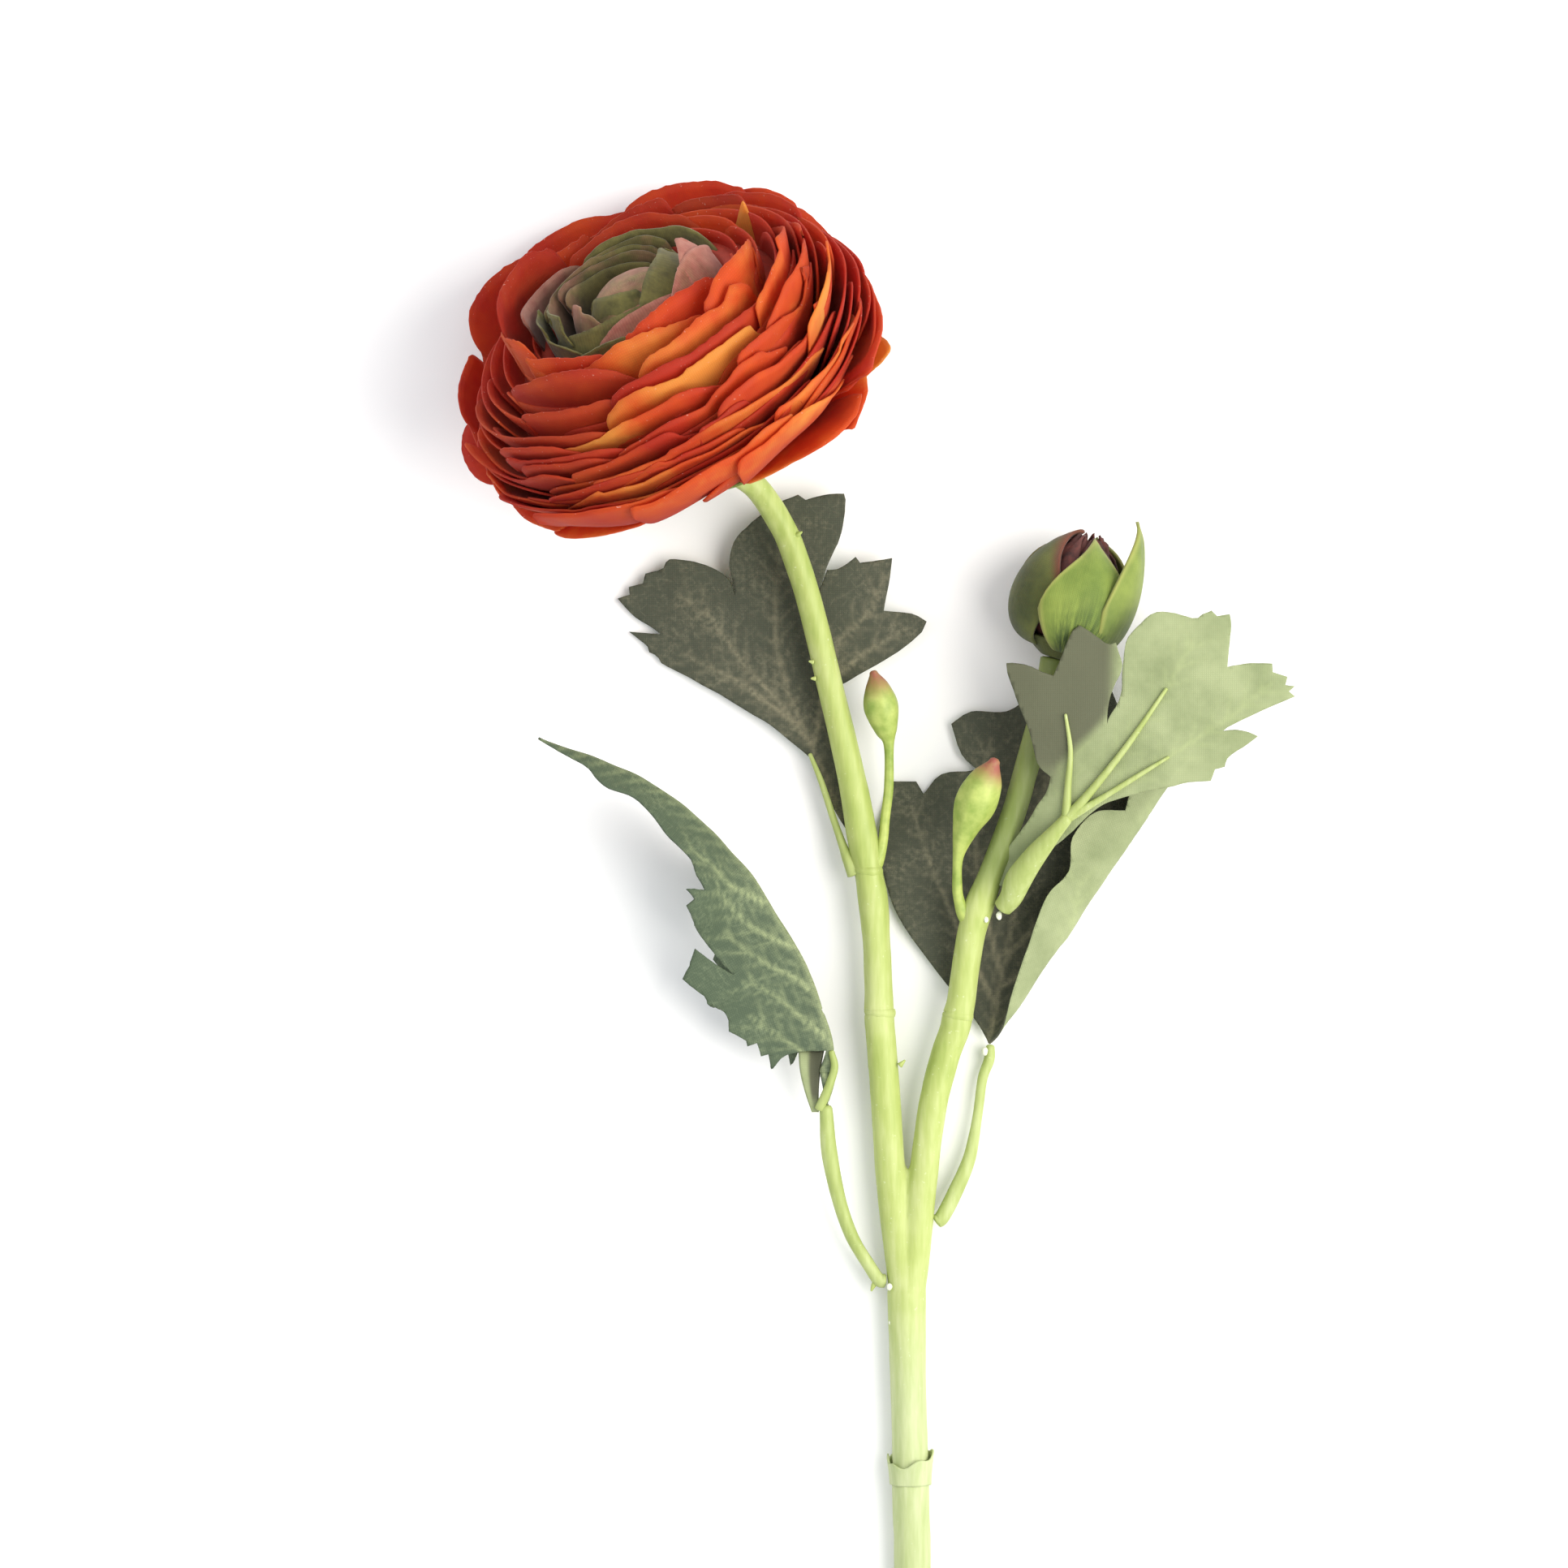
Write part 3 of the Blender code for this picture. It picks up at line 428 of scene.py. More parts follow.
def makeSepalCloth():
    material, shader = startMaterial("sepalCloth", Roughness=0.7, Sheen_Weight=0.15)
    fibre = cloud(material, place(material, "UV", scale=(1, 0.1, 1)), 0.012, 4, 0.7)
    wide = cloud(material, place(material), 0.008, 3)
    olive, fresh = (ramp(material, wide, *zip((0.3, 0.7), tints(name))) for name in ("sepalOlive", "sepalFresh"))
    streaks, edge, blush, gaps = tints("sepalMarks")
    colour = mixColour(material, marks(material, "fresh"), olive, fresh)
    streak = times(material, limits(material, fibre, 0.4, 0.56), marks(material, "root"))
    colour = mixColour(material, times(material, streak, 0.95), colour, streaks)
    colour = mixColour(material, times(material, marks(material, "edge"), 0.6), colour, edge)
    colour = mixColour(material, marks(material, "blush"), colour, blush)
    cloth, colour = woven(material, colour, 0.0004, 0.18, gaps)
    return dressed(material, shader, colour, plus(material, times(material, cloth, 0.3), fibre), 0.35, 0.0004, 0.2)


def makeSmallBudGreen():
    material, shader = startMaterial("smallBudSkin", Roughness=0.55)
    wide = cloud(material, place(material), 0.004, 4)
    base, light, tip = tints("smallBud")
    colour = ramp(material, wide, (0.3, base), (0.7, light))
    blush = times(material, marks(material, "blush"), limits(material, wide, 0.3, 0.6, 0.5, 1))
    colour = mixColour(material, blush, colour, tip)
    return dressed(material, shader, colour, wide, 0.3, 0.0004)


def makePlain(name, low, high, size, roughness, bump):
    material, shader = startMaterial(name, Roughness=roughness)
    fine = cloud(material, place(material), size, 4, 0.6)
    return dressed(material, shader, ramp(material, fine, (0.3, low), (0.7, high)), fine, bump)


stemGreen = makeStemGreen("stemGreen", *tints("stem"), 0.1)
paleGreen = makeStemGreen("stalkGreen", *tints("stalk"), 0.18)
leafFace = makeLeafFace("leafFace", *tints("leaf"))
leafBack = makeLeafBack("leafBack", *tints("leafBack"))
foldFace = makeLeafFace("foldedLeafFace", *tints("foldedLeaf"), 0.95)
petalCloth = makePetalCloth("petalCloth", *tints("petal"), 0.5)
coreCloth = makePlain("coreCloth", *tints("core"), 0.003, 0.8, 0.4)
heartCloth = makeHeartCloth()
sepalCloth = makeSepalCloth()
calyxGreen = makeLeafFace("calyxGreen", *tints("calyx"), 0.5)
budDark = makePlain("budDark", *tints("bud"), 0.002, 0.75, 0.5)
glueWhite = makePlain("glueWhite", *tints("glue"), 0.0006, 0.35, 0.3)
smallBudGreen = makeSmallBudGreen()
print("materials made")


# stems

stalk = {
    "path": (
        (6.0, -40.5, 4.4, 3.9), (6.3, -58.0, 4.1, 3.6), (6.7, -72.0, 3.9, 3.6), (6.8, -78.5, 4.1, 3.75),
        (6.9, -84.0, 3.9, 3.7), (7.2, -96.0, 3.8, 3.7), (6.8, -131.0, 3.75, 3.7), (6.2, -178.0, 3.7, 3.7),
    ),
    "bloomBranch": (
        (0.5, 15.1, 5.8, 3.0), (0.8, 11.0, 5.7, 3.0), (1.8, -1.5, 5.3, 3.0), (2.9, -17.7, 4.9, 3.05),
        (4.5, -30.7, 4.6, 3.2), (5.8, -40.5, 4.4, 3.3), (6.1, -46.0, 4.3, 3.2),
    ),
    "budBranch": (
        (16.1, 14.4, 6.6, 3.1), (15.4, 11.3, 6.45, 3.0), (13.7, 6.6, 6.2, 2.95), (11.6, -1.5, 5.9, 2.9),
        (10.3, -9.6, 5.6, 2.85), (8.9, -20.9, 5.2, 3.0), (7.6, -32.3, 4.7, 3.2), (6.3, -42.0, 4.4, 3.3),
    ),
    "voxel": 0.42,
    "smoothing": 3,
    "bleached": (-64.0, -34.0),  # below the fork the stalk is paler and greyer
}
bloomStem = {
    "path": (
        (-23.6, 118.6, 16.6, 2.5), (-18.4, 110.8, 13.2, 2.5), (-15.3, 102.9, 11.5, 2.5), (-12.9, 94.9, 10.2, 2.5),
        (-9.1, 79.2, 8.6, 2.6), (-5.3, 63.1, 7.6, 2.75), (-2.8, 49.5, 7.0, 3.05), (-1.6, 43.0, 6.8, 2.8),
        (-0.7, 37.3, 6.5, 3.0), (0.0, 29.2, 6.2, 2.75), (0.4, 20.0, 5.9, 2.8), (0.5, 15.45, 5.8, 2.95),
    ),
}
budStem = {
    "path": (
        (16.2, 14.8, 6.65, 3.05), (16.8, 17.5, 6.85, 2.85), (17.5, 22.8, 7.2, 2.8), (18.8, 30.9, 7.9, 2.8),
        (20.4, 36.6, 8.5, 2.95), (22.8, 43.0, 9.2, 2.45), (27.2, 55.0, 10.0, 2.4), (29.5, 63.1, 10.4, 2.4),
        (33.4, 77.5, 11.3, 2.4), (34.9, 85.15, 11.87, 2.6),
    ),
    "shaded": (35.0, 46.0),  # above its node the bud's stem is painted a darker green, as painted shade
}
smallBuds = {
    "smallBudUpper": (
        (-1.6, 42.0, 6.7, 1.6), (-0.2, 44.6, 7.0, 1.5), (0.8, 47.2, 7.2, 1.15), (1.4, 50.0, 7.4, 0.95),
        (1.7, 53.7, 7.7, 0.95), (2.4, 60.0, 8.7, 0.95), (2.4, 68.0, 9.6, 1.0),
        (1.9, 71.1, 9.9, 2.2), (0.9, 75.6, 10.4, 3.4), (0.1, 79.5, 10.8, 2.5), (-0.6, 82.2, 11.0, 0.9),
    ),
    "smallBudLower": (
        (18.6, 33.0, 8.2, 1.8), (17.2, 34.8, 8.8, 1.4), (16.4, 37.0, 9.5, 1.1), (15.9, 40.0, 10.4, 1.0),
        (16.0, 46.0, 12.2, 1.05), (17.3, 51.4, 13.7, 2.5),
        (19.2, 56.5, 15.0, 4.1), (21.3, 61.2, 16.1, 3.4), (22.9, 64.6, 16.8, 1.2),
    ),
}
bloom = {
    "centre": (-40.6, 141.9, 35.9),
    "tilt": 55.0,
    "heading": 120.5,
    "radius": 42.0,
    "halfDepth": 28.6,
    "petalsInLayer": (5, 6, 6, 6, 7, 7, 7, 8, 8, 8),
    "rimAngles": (29.0, 97.0),
    "leans": (-14.0, 27.0),
    "overlap": 1.36,
    "turn": -0.9,
    "root": (5.0, -16.6),
    "innerRise": 4.0,
    "wall": 0.42,
    "calyxFoot": -22.8,
    "restFrom": 3.5,
    "restLeast": 0.6,
}
bloomFrame = (
    Matrix.Translation(Vector(bloom["centre"]))
    @ Matrix.Rotation(math.radians(bloom["heading"]), 4, "Z")
    @ Matrix.Rotation(math.radians(bloom["tilt"]), 4, "Y")
)


def markAlong(bm, name, amount):
    layer = bm.verts.layers.float.get(name) or bm.verts.layers.float.new(name)
    for vert in bm.verts:
        vert[layer] = amount(vert.co.y / mm)


def makeStems():
    bm = newMesh()
    for key in ("path", "bloomBranch", "budBranch"):
        caps = (0.4, 0.05) if key == "path" else (0.05, 0.4)
        addStem(bm, stalk[key], 28, 8, *caps, 0.025)
    bm = joined(bm, stalk["voxel"], stalk["smoothing"])
    markAlong(bm, "bleach", lambda y: 0.6 * (1 - ease(y, *stalk["bleached"])))
    finishPiece("stalkAndFork", bm, [stemGreen], "stalk")
    top = [(*(bloomFrame @ Vector((0, 0, z))), 2.5) for z in (bloom["calyxFoot"] - 0.3, bloom["calyxFoot"] - 4.5)]
    for name, path, node in (
        ("bloomStem", [*top, *bloomStem["path"]], "bloom_stem"),
        ("budStem", budStem["path"], "bud_stem"),
    ):
        bm = newMesh()
        addStem(bm, path, 28, 8, 0.15, 0.15, 0.03)
        if name == "budStem":
            markAlong(bm, "paintedShade", lambda y: 0.8 * ease(y, *budStem["shaded"]))
        finishPiece(name, bm, [stemGreen], node)
    for name, path in smallBuds.items():
        bm = newMesh()
        addStem(bm, path, 24, 8, 0.3, 0.9, 0.03, 0.03)
        blush = bm.verts.layers.float.new("blush")
        tip = Vector(path[-1][:3]) * mm
        for vert in bm.verts:
            vert[blush] = 1 - ease((vert.co - tip).length / mm, 1.5, 6.5)
        finishPiece(name, bm, [smallBudGreen], "small_bud_" + name[8:].lower())


# Small things on the stems: spots and size of the glue drops, and of the burrs left by the mould.
trims = {
    "glue": (
        (24.2, 34.4, 10.4, 0.65), (21.6, 33.6, 10.6, 0.5), (21.6, 7.2, 3.6, 0.7), (2.9, -46.6, 5.6, 0.5),
        (6.2, -46.8, 7.6, 0.45), (2.6, -39.4, 6.4, 0.6), (7.0, -81.6, 7.3, 0.4),
    ),
    "glueShape": (1, 1.3, 0.7, 1),
    "burrs": (
        ((-16.6, 109.2, 13.6, 0.7), (-15.6, 109.8, 14.4, 0.5), (-14.9, 110.2, 14.7, 0.2)),
        ((0.6, -37.0, 4.6, 0.8), (-0.6, -39.4, 4.6, 0.5), (-1.0, -40.4, 4.6, 0.2)),
        ((-12.6, 84.6, 10.8, 0.5), (-13.4, 84.8, 11.0, 0.2)),
        ((-12.2, 81.4, 10.4, 0.5), (-13.0, 81.4, 10.6, 0.2)),
        ((4.6, 4.6, 7.2, 0.6), (5.6, 5.6, 7.4, 0.2)),
    ),
    "collarCentre": (6.8, 4.0),
    "collarSpike": 2.2,
    "collarFoot": -79.0,
    "collarRim": -73.6,
    "collarRadius": (3.95, 4.5),
    "collarLeast": 0.4,
    "sleeves": ((0.6, 15.2, 5.8, 3.15), (16.1, 14.7, 6.6, 3.2), (-1.7, 43.4, 6.8, 3.1)),
}


def makeTrims():
    bm = newMesh()
    for x, y, z, size in trims["glue"]:
        drop = Matrix.Translation(Vector((x, y, z)) * mm) @ Matrix.Diagonal(trims["glueShape"])
        bmesh.ops.create_icosphere(bm, subdivisions=2, radius=size * mm, matrix=drop)
    for vert in bm.verts:
        vert.co += vert.co.normalized() * 0.25 * mm * grain(*(vert.co / mm), 1.1)
    finishPiece("glueDrops", bm, [glueWhite], None)
    bm = newMesh()
    for points in trims["burrs"]:
        addStem(bm, points, 10, 3, 0.2, 0.6, 0.05)
    finishPiece("mouldBurrs", bm, [stemGreen], None)

    def collar(u, v):  # a torn papery sheath round the stalk, its rim highest at a spike on the left
        angle = math.pi * (u + 1)
        spike = trims["collarSpike"] * math.exp(-(((angle - 1.5 * math.pi) / 0.16) ** 2))
        rim = trims["collarRim"] + spike + 1.5 * math.cos(angle - 2.4) + 0.5 * math.sin(5 * angle)
        radius = blend(*trims["collarRadius"], v**1.5) + 0.12 * math.sin(6 * angle)
        middle, lift = trims["collarCentre"]
        height = max(trims["collarLeast"], lift + radius * math.cos(angle))
        return middle + radius * math.sin(angle), blend(trims["collarFoot"], rim, v), height

    bm = newMesh("bleach")
    addSheet(bm, 40, 12, collar, (28, 9), {"bleach": lambda u, v: 0.7})
    bmesh.ops.remove_doubles(bm, verts=bm.verts, dist=1e-7)
    finishPiece("stalkCollar", bm, [stemGreen], None, 0.35)
    bm = newMesh()
    for x, y, z, radius in trims["sleeves"]:  # the raised rims where one moulded length ends on the next
        rim = ((x - 0.1, y - 0.9, z, radius - 0.25), (x, y - 0.2, z, radius), (x, y + 0.5, z, radius - 0.2))
        addStem(bm, rim, 28, 4, 0.1, 0.1, 0.05)
    finishPiece("stemSleeves", bm, [stemGreen], None)


makeStems()
makeTrims()
print("stems made")


# the bloom

def alongRun(run, t):  # distance out and height at a point of the curve that a petal follows from root to rim
    a, b, c, d = (Vector(point) for point in run)
    s = 1 - t
    return a * s**3 + b * (3 * s * s * t) + c * (3 * s * t * t) + d * t**3


def offRun(run, t):  # the same point, and the way out of the petal's face there
    here = alongRun(run, t)
    along = (here - alongRun(run, t - 0.01)).normalized()
    return here, Vector((along.y, -along.x))


def widen(t):  # petals are narrow at the root
    return 0.45 + 0.55 * math.sin(math.pi / 2 * min(1, t / 0.7))


def inBloom(distance, angle, height):  # nothing sinks into the surface that the spray lies on
    spot = bloomFrame @ Vector((distance * math.cos(angle), distance * math.sin(angle), height))
    soft, least = bloom["restFrom"], bloom["restLeast"]
    if spot.z < soft:
        spot.z = least + (soft - least) * math.exp((spot.z - soft) / (soft - least))
    return spot


def petalShape(run, heading, halfAngle, turn, start, crown, wave, phase, curl=0.0, blunt=2.6, ruffle=0.0):
    def shape(u, v):
        t = start + (1 - start) * v * (1 - crown * abs(u) ** blunt)
        here, out = offRun(run, t)
        lip = ease(v, 0.72, 1.0) ** 2 * curl * (0.6 + 0.5 * math.sin(2.3 * u + phase * 1.7))
        ripple = wave * v * v * math.sin(3.2 * u + phase) + ruffle * v**4 * math.sin(8.5 * u + 2 * phase)
        r, z = here + out * (turn * u * min(1, 2.2 * t) + ripple + lip)
        return inBloom(r, heading + halfAngle * u * widen(t), z)

    return shape


def layerRun(share, grow=1.0):
    rimAngle = math.radians(blend(*bloom["rimAngles"], share))
    lean = math.radians(blend(*bloom["leans"], share))
    rim = (bloom["radius"] * grow * math.sin(rimAngle), bloom["halfDepth"] * math.cos(rimAngle))
    foot = bloom["root"][1] + bloom["innerRise"] * (1 - share)
    reach = blend(0.55, 0.42, max(0, share)) * (rim[1] - foot)
    return (
        (bloom["root"][0], foot),
        (0.55 * rim[0], foot - 0.5),
        (rim[0] - math.sin(lean) * reach, rim[1] - math.cos(lean) * reach),
        rim,
    )


# Petals set one by one: how golden the left end, the middle and the right end are, how much painted shade darkens the
# petal, then its rim from left to right, read in the photograph enlarged by "zoom" from the corner "readAt".
seenPetals = {
    "readAt": (537.0, 190.5),
    "zoom": (2.65, 2.67),
    "around": (
        # beside the eye
        ((0.3, 0.45, 0.4), 0.1, ((290, 725), (267, 664), (246, 612), (239, 571), (262, 607), (308, 650))),
        ((0.45, 0.4, 0.3), 0.0, ((381, 723), (345, 690), (311, 656), (334, 661), (381, 661), (438, 664),
            (536, 657))),
        ((0.4, 0.6, 0.5), 0.0, ((453, 715), (494, 690), (536, 659), (587, 622), (640, 597), (701, 571), (750, 560),
            (860, 530))),
        ((0.25, 0.3, 0.25), 0.0, ((618, 604), (639, 571), (680, 529), (727, 488), (773, 457), (825, 431), (856, 411),
            (892, 403))),
        ((0.3, 0.65, 0.3), 0.0, ((861, 514), (869, 467), (897, 405), (928, 369), (949, 349), (980, 318), (1015, 287),
            (1030, 281), (1045, 330), (1054, 400))),
        # the broad bands of the near side, going outwards
        ((0.6, 0.6, 0.4), 0.0, ((662, 721), (662, 695), (680, 664), (706, 643), (753, 617), (815, 571), (856, 529),
            (897, 509), (928, 488), (944, 447), (954, 429), (1015, 426), (1050, 470))),
        ((0.1, 0.1, 0.25), 0.1, ((574, 799), (597, 763), (639, 731), (698, 704), (763, 674), (816, 657), (840, 639),
            (875, 615), (900, 590), (960, 545), (1040, 490), (1112, 447))),
        ((0.5, 1.0, 0.8), 0.0, ((568, 887), (561, 858), (574, 828), (609, 793), (662, 763), (716, 751), (781, 731),
            (816, 701), (864, 668), (905, 639), (952, 609), (1000, 573), (1025, 563), (1055, 590))),
        ((0.25, 0.35, 0.25), 0.2, ((310, 868), (296, 850), (307, 837), (378, 834), (449, 828), (497, 819), (532, 808),
            (568, 805))),
        ((0.5, 0.8, 0.15), 0.0, ((358, 962), (370, 958), (426, 955), (485, 941), (532, 926), (562, 905), (609, 876),
            (639, 864), (686, 840), (733, 822), (787, 787), (840, 769), (881, 766))),
        ((0.2, 0.45, 0.3), 0.0, ((597, 982), (600, 967), (627, 947), (674, 923), (716, 893), (775, 864), (834, 840),
            (875, 822), (905, 781), (952, 740), (977, 703), (1027, 667), (1063, 649), (1091, 652))),
        ((0.4, 0.3, 0.1), 0.1, ((449, 1038), (485, 1023), (550, 1006), (615, 982), (686, 947), (745, 917), (775, 914),
            (810, 926))),
        ((0.1, 0.1, 0.1), 0.1, ((856, 896), (913, 860), (970, 821), (1006, 807), (1031, 817))),
        ((0.4, 0.55, 0.7), 0.0, ((520, 1059), (580, 1044), (639, 1023), (698, 1000), (745, 982), (757, 964),
            (810, 941), (875, 899), (935, 864), (991, 839), (1063, 796), (1127, 760), (1184, 717), (1234, 664))),
        ((0.2, 0.3, 0.35), 0.0, ((560, 1055), (674, 1041), (757, 1012), (810, 982), (875, 958), (969, 911),
            (1010, 905), (1030, 915))),
        ((0.3, 0.6, 0.5), 0.0, ((482, 1100), (503, 1115), (550, 1106), (615, 1089), (674, 1077), (722, 1053),
            (775, 1029), (816, 1006), (875, 988), (935, 958), (975, 932), (1020, 906), (1060, 895))),
        # right side
        ((0.5, 0.5, 0.2), 0.0, ((1027, 503), (1034, 474), (1056, 432), (1077, 389), (1099, 346), (1109, 310),
            (1102, 274), (1084, 246), (1060, 235))),
        ((0.3, 0.5, 0.2), 0.0, ((1063, 567), (1077, 524), (1106, 474), (1127, 424), (1156, 382), (1177, 346),
            (1191, 303), (1195, 274), (1184, 246), (1163, 221), (1127, 210))),
        ((0.3, 0.4, 0.3), 0.0, ((970, 660), (1013, 617), (1056, 582), (1113, 539), (1163, 517), (1191, 489),
            (1202, 453), (1213, 403), (1209, 382), (1194, 372))),
        ((0.2, 0.4, 0.2), 0.0, ((913, 824), (977, 760), (1041, 717), (1113, 682), (1156, 646), (1199, 610),
            (1227, 560), (1241, 510), (1236, 495))),
        ((0.6, 0.9, 0.5), 0.0, ((1199, 560), (1227, 500), (1249, 453), (1266, 410), (1276, 380), (1284, 340),
            (1277, 290))),
        ((0.5, 0.7, 0.5), 0.0, ((1100, 830), (1160, 790), (1220, 735), (1270, 690), (1310, 640), (1330, 590),
            (1340, 520))),
        ((0.1, 0.25, 0.2), 0.0, ((1049, 914), (1099, 874), (1141, 832), (1170, 803), (1191, 810), (1203, 830))),
        # left side
        ((0.15, 0.35, 0.2), 0.2, ((272, 793), (260, 779), (266, 763), (313, 737), (378, 713), (461, 703), (550, 704),
            (609, 719), (645, 737))),
        ((0.45, 0.35, 0.2), 0.3, ((150, 800), (130, 846), (147, 887), (189, 917), (260, 927), (343, 928), (430, 925),
            (520, 915))),
        ((0.3, 0.2, 0.2), 0.15, ((96, 850), (106, 893), (124, 917), (165, 943), (224, 952), (313, 958), (380, 962))),
        ((0.15, 0.1, 0.15), 0.1, ((120, 905), (153, 946), (189, 973), (242, 982), (290, 991), (355, 994), (426, 988),
            (497, 976), (552, 968))),
        ((0.25, 0.3, 0.2), 0.15, ((110, 940), (124, 982), (148, 1018), (195, 1044), (254, 1062), (313, 1062),
            (361, 1056))),
        ((0.1, 0.15, 0.2), 0.05, ((207, 1071), (248, 1089), (284, 1106), (325, 1118), (378, 1112), (461, 1095),
            (550, 1071), (615, 1053), (662, 1044), (727, 1030))),
        ((0.2, 0.2, 0.15), 0.05, ((225, 1094), (236, 1124), (272, 1151), (313, 1160), (402, 1160), (461, 1163),
            (520, 1151), (615, 1142), (698, 1124), (757, 1100), (840, 1060))),
        ((0.15, 0.1, 0.15), 0.3, ((205, 760), (200, 700), (220, 650), (250, 610), (275, 590))),
        ((0.2, 0.2, 0.2), 0.15, ((300, 1028), (290, 1016), (301, 1009), (355, 1012), (426, 1012), (500, 1000))),
        # far side, whose inner faces show
        ((0.1, 0.15, 0.15), 0.3, ((205, 560), (198, 500), (215, 440), (257, 385), (283, 349), (319, 323), (350, 322),
            (390, 318))),
    ),
    # petals of the far side and the outline: the layer, or the run, that they follow, some with their heading
    "outline": (
        ((0.25, -10), (0.2, 0.2, 0.15), 0.35, ((470, 300), (485, 287), (525, 256), (567, 222), (620, 190), (690, 163),
            (740, 152))),
        ((0.3, -40), (0.15, 0.2, 0.6), 0.55, ((740, 205), (760, 185), (790, 165), (830, 150), (880, 140), (930, 142),
            (985, 152))),
        ((0.4, -60), (0.1, 0.15, 0.2), 0.3, ((960, 155), (995, 165), (1041, 167), (1077, 189), (1099, 217),
            (1120, 260), (1131, 332), (1125, 400))),
        ((0.52, -62), (0.1, 0.2, 0.2), 0.15, ((940, 128), (985, 122), (1027, 124), (1084, 132), (1141, 160),
            (1170, 189), (1184, 230), (1190, 290))),
        ((0.66, -75), (0.15, 0.2, 0.2), 0.1, ((1175, 240), (1199, 250), (1241, 246), (1277, 267), (1290, 303),
            (1290, 346), (1280, 400))),
        (("spread", -125), (0.3, 0.4, 0.3), 0.0, ((1130, 855), (1200, 830), (1270, 770), (1320, 700), (1355, 640),
            (1380, 560), (1375, 500), (1350, 470))),
        (0.08, (0.25, 0.3, 0.25), 0.3, ((440, 335), (474, 307), (515, 271), (567, 235), (608, 214), (644, 201),
            (696, 196), (748, 199), (799, 209), (835, 230), (866, 256), (903, 297), (939, 338))),
        (0.14, (0.35, 0.4, 0.3), 0.2, ((250, 590), (241, 555), (240, 509), (246, 467), (262, 431), (293, 400),
            (319, 382), (360, 369), (396, 364))),
        (0.2, (0.2, 0.3, 0.2), 0.25, ((340, 380), (355, 364), (386, 333), (422, 307), (458, 289), (500, 275))),
        ((0.2, -60), (0.9, 0.95, 0.9), 0.0, ((966, 325), (972, 290), (977, 245), (981, 205), (986, 165), (997, 185),
            (1010, 215), (1020, 250), (1022, 280))),
        ("tall", (0.2, 0.3, 0.25), 0.1, ((618, 184), (640, 160), (680, 130), (730, 108), (790, 95), (850, 91),
            (910, 94), (960, 105), (992, 117))),
        ("upright", (0.2, 0.35, 0.3), 0.1, ((965, 130), (985, 118), (1020, 114), (1060, 118), (1110, 135),
            (1145, 155), (1165, 172), (1180, 210))),
        ("spread", (0.2, 0.35, 0.3), 0.05, ((1148, 175), (1180, 172), (1220, 195), (1250, 225), (1280, 262),
            (1300, 292))),
        ("spread", (0.3, 0.35, 0.5), 0.0, ((1250, 300), (1290, 290), (1310, 310), (1325, 335), (1340, 372),
            (1340, 410))),
        ("spread", (0.3, 0.5, 0.4), 0.0, ((1300, 380), (1340, 370), (1380, 385), (1410, 420), (1435, 470),
            (1447, 520), (1445, 570), (1430, 620), (1415, 660), (1402, 700), (1370, 720))),
        ("under", (0.8, 0.95, 0.8), 0.15, ((1438, 570), (1452, 592), (1471, 626), (1450, 660), (1428, 684),
            (1402, 708))),
        ("droop", (0.4, 0.6, 0.5), 0.0, ((1350, 680), (1390, 690), (1405, 730), (1405, 770), (1390, 812), (1372, 850),
            (1356, 884), (1320, 890))),
        ("droop", (0.35, 0.6, 0.5), 0.0, ((1380, 850), (1364, 872), (1330, 906), (1290, 936), (1240, 966),
            (1200, 986), (1150, 1008), (1080, 1042), (1030, 1062), (1000, 1066))),
        ("hull", (0.45, 0.7, 0.6), 0.0, ((985, 990), (1060, 945), (1110, 905), (1160, 862), (1200, 835), (1250, 812),
            (1310, 780), (1360, 735))),
        ("hull", (0.2, 0.45, 0.65), 0.0, ((640, 1146), (690, 1134), (727, 1121), (800, 1080), (873, 1035),
            (930, 1005), (990, 975), (1048, 925), (1085, 895))),
        ("hull", (0.15, 0.35, 0.2), 0.0, ((330, 1166), (402, 1168), (461, 1168), (520, 1160), (600, 1152),
            (680, 1134), (740, 1112))),
        ("droop", (0.2, 0.5, 0.4), 0.0, ((720, 1190), (680, 1216), (620, 1232), (560, 1244), (500, 1250), (440, 1250),
            (400, 1241), (380, 1225))),
        ("droop", (0.15, 0.35, 0.4), 0.0, ((430, 1225), (400, 1240), (340, 1222), (300, 1201), (262, 1166),
            (240, 1131), (234, 1100), (245, 1070))),
        ("spread", (0.2, 0.1, 0.1), 0.05, ((250, 1080), (215, 1089), (170, 1086), (130, 1061), (100, 1021), (86, 980),
            (83, 940), (89, 900), (104, 872))),
        ("upright", (0.2, 0.3, 0.3), 0.1, ((112, 905), (98, 882), (85, 850), (78, 810), (82, 770), (95, 720),
            (114, 680), (128, 656))),
        ("tall", (0.25, 0.3, 0.3), 0.15, ((150, 660), (131, 638), (112, 600), (104, 560), (108, 520), (125, 480),
            (150, 440), (185, 405), (222, 375), (268, 351), (300, 345))),
        ("tall", (0.2, 0.3, 0.3), 0.12, ((262, 372), (276, 350), (310, 311), (350, 276), (400, 246), (450, 223),
            (500, 208), (560, 200), (608, 190), (630, 186))),
    ),
    "layers": (-0.1, 0.92),  # the inmost and outmost layer that a petal is given
    "across": 40,
    "along": 14,
    "root": 0.34,
    "highest": 1.045,  # how far up its run, as a share, a petal's rim is looked for
    "highestPlaced": 1.36,
    "rounded": 2.0,  # how far the left end runs on while it drops
    "hidden": 7.0,  # how far the tucked end runs on under its neighbour
    "twist": -0.9,  # the left end lies outside its neighbour and the right end inside
    "wave": (0.25, 0.6),
    "fray": 0.006,
    "runs": {
        "spread": ((5.0, -16.6), (24.0, -15.5), (36.0, -8.0), (44.0, -3.5)),
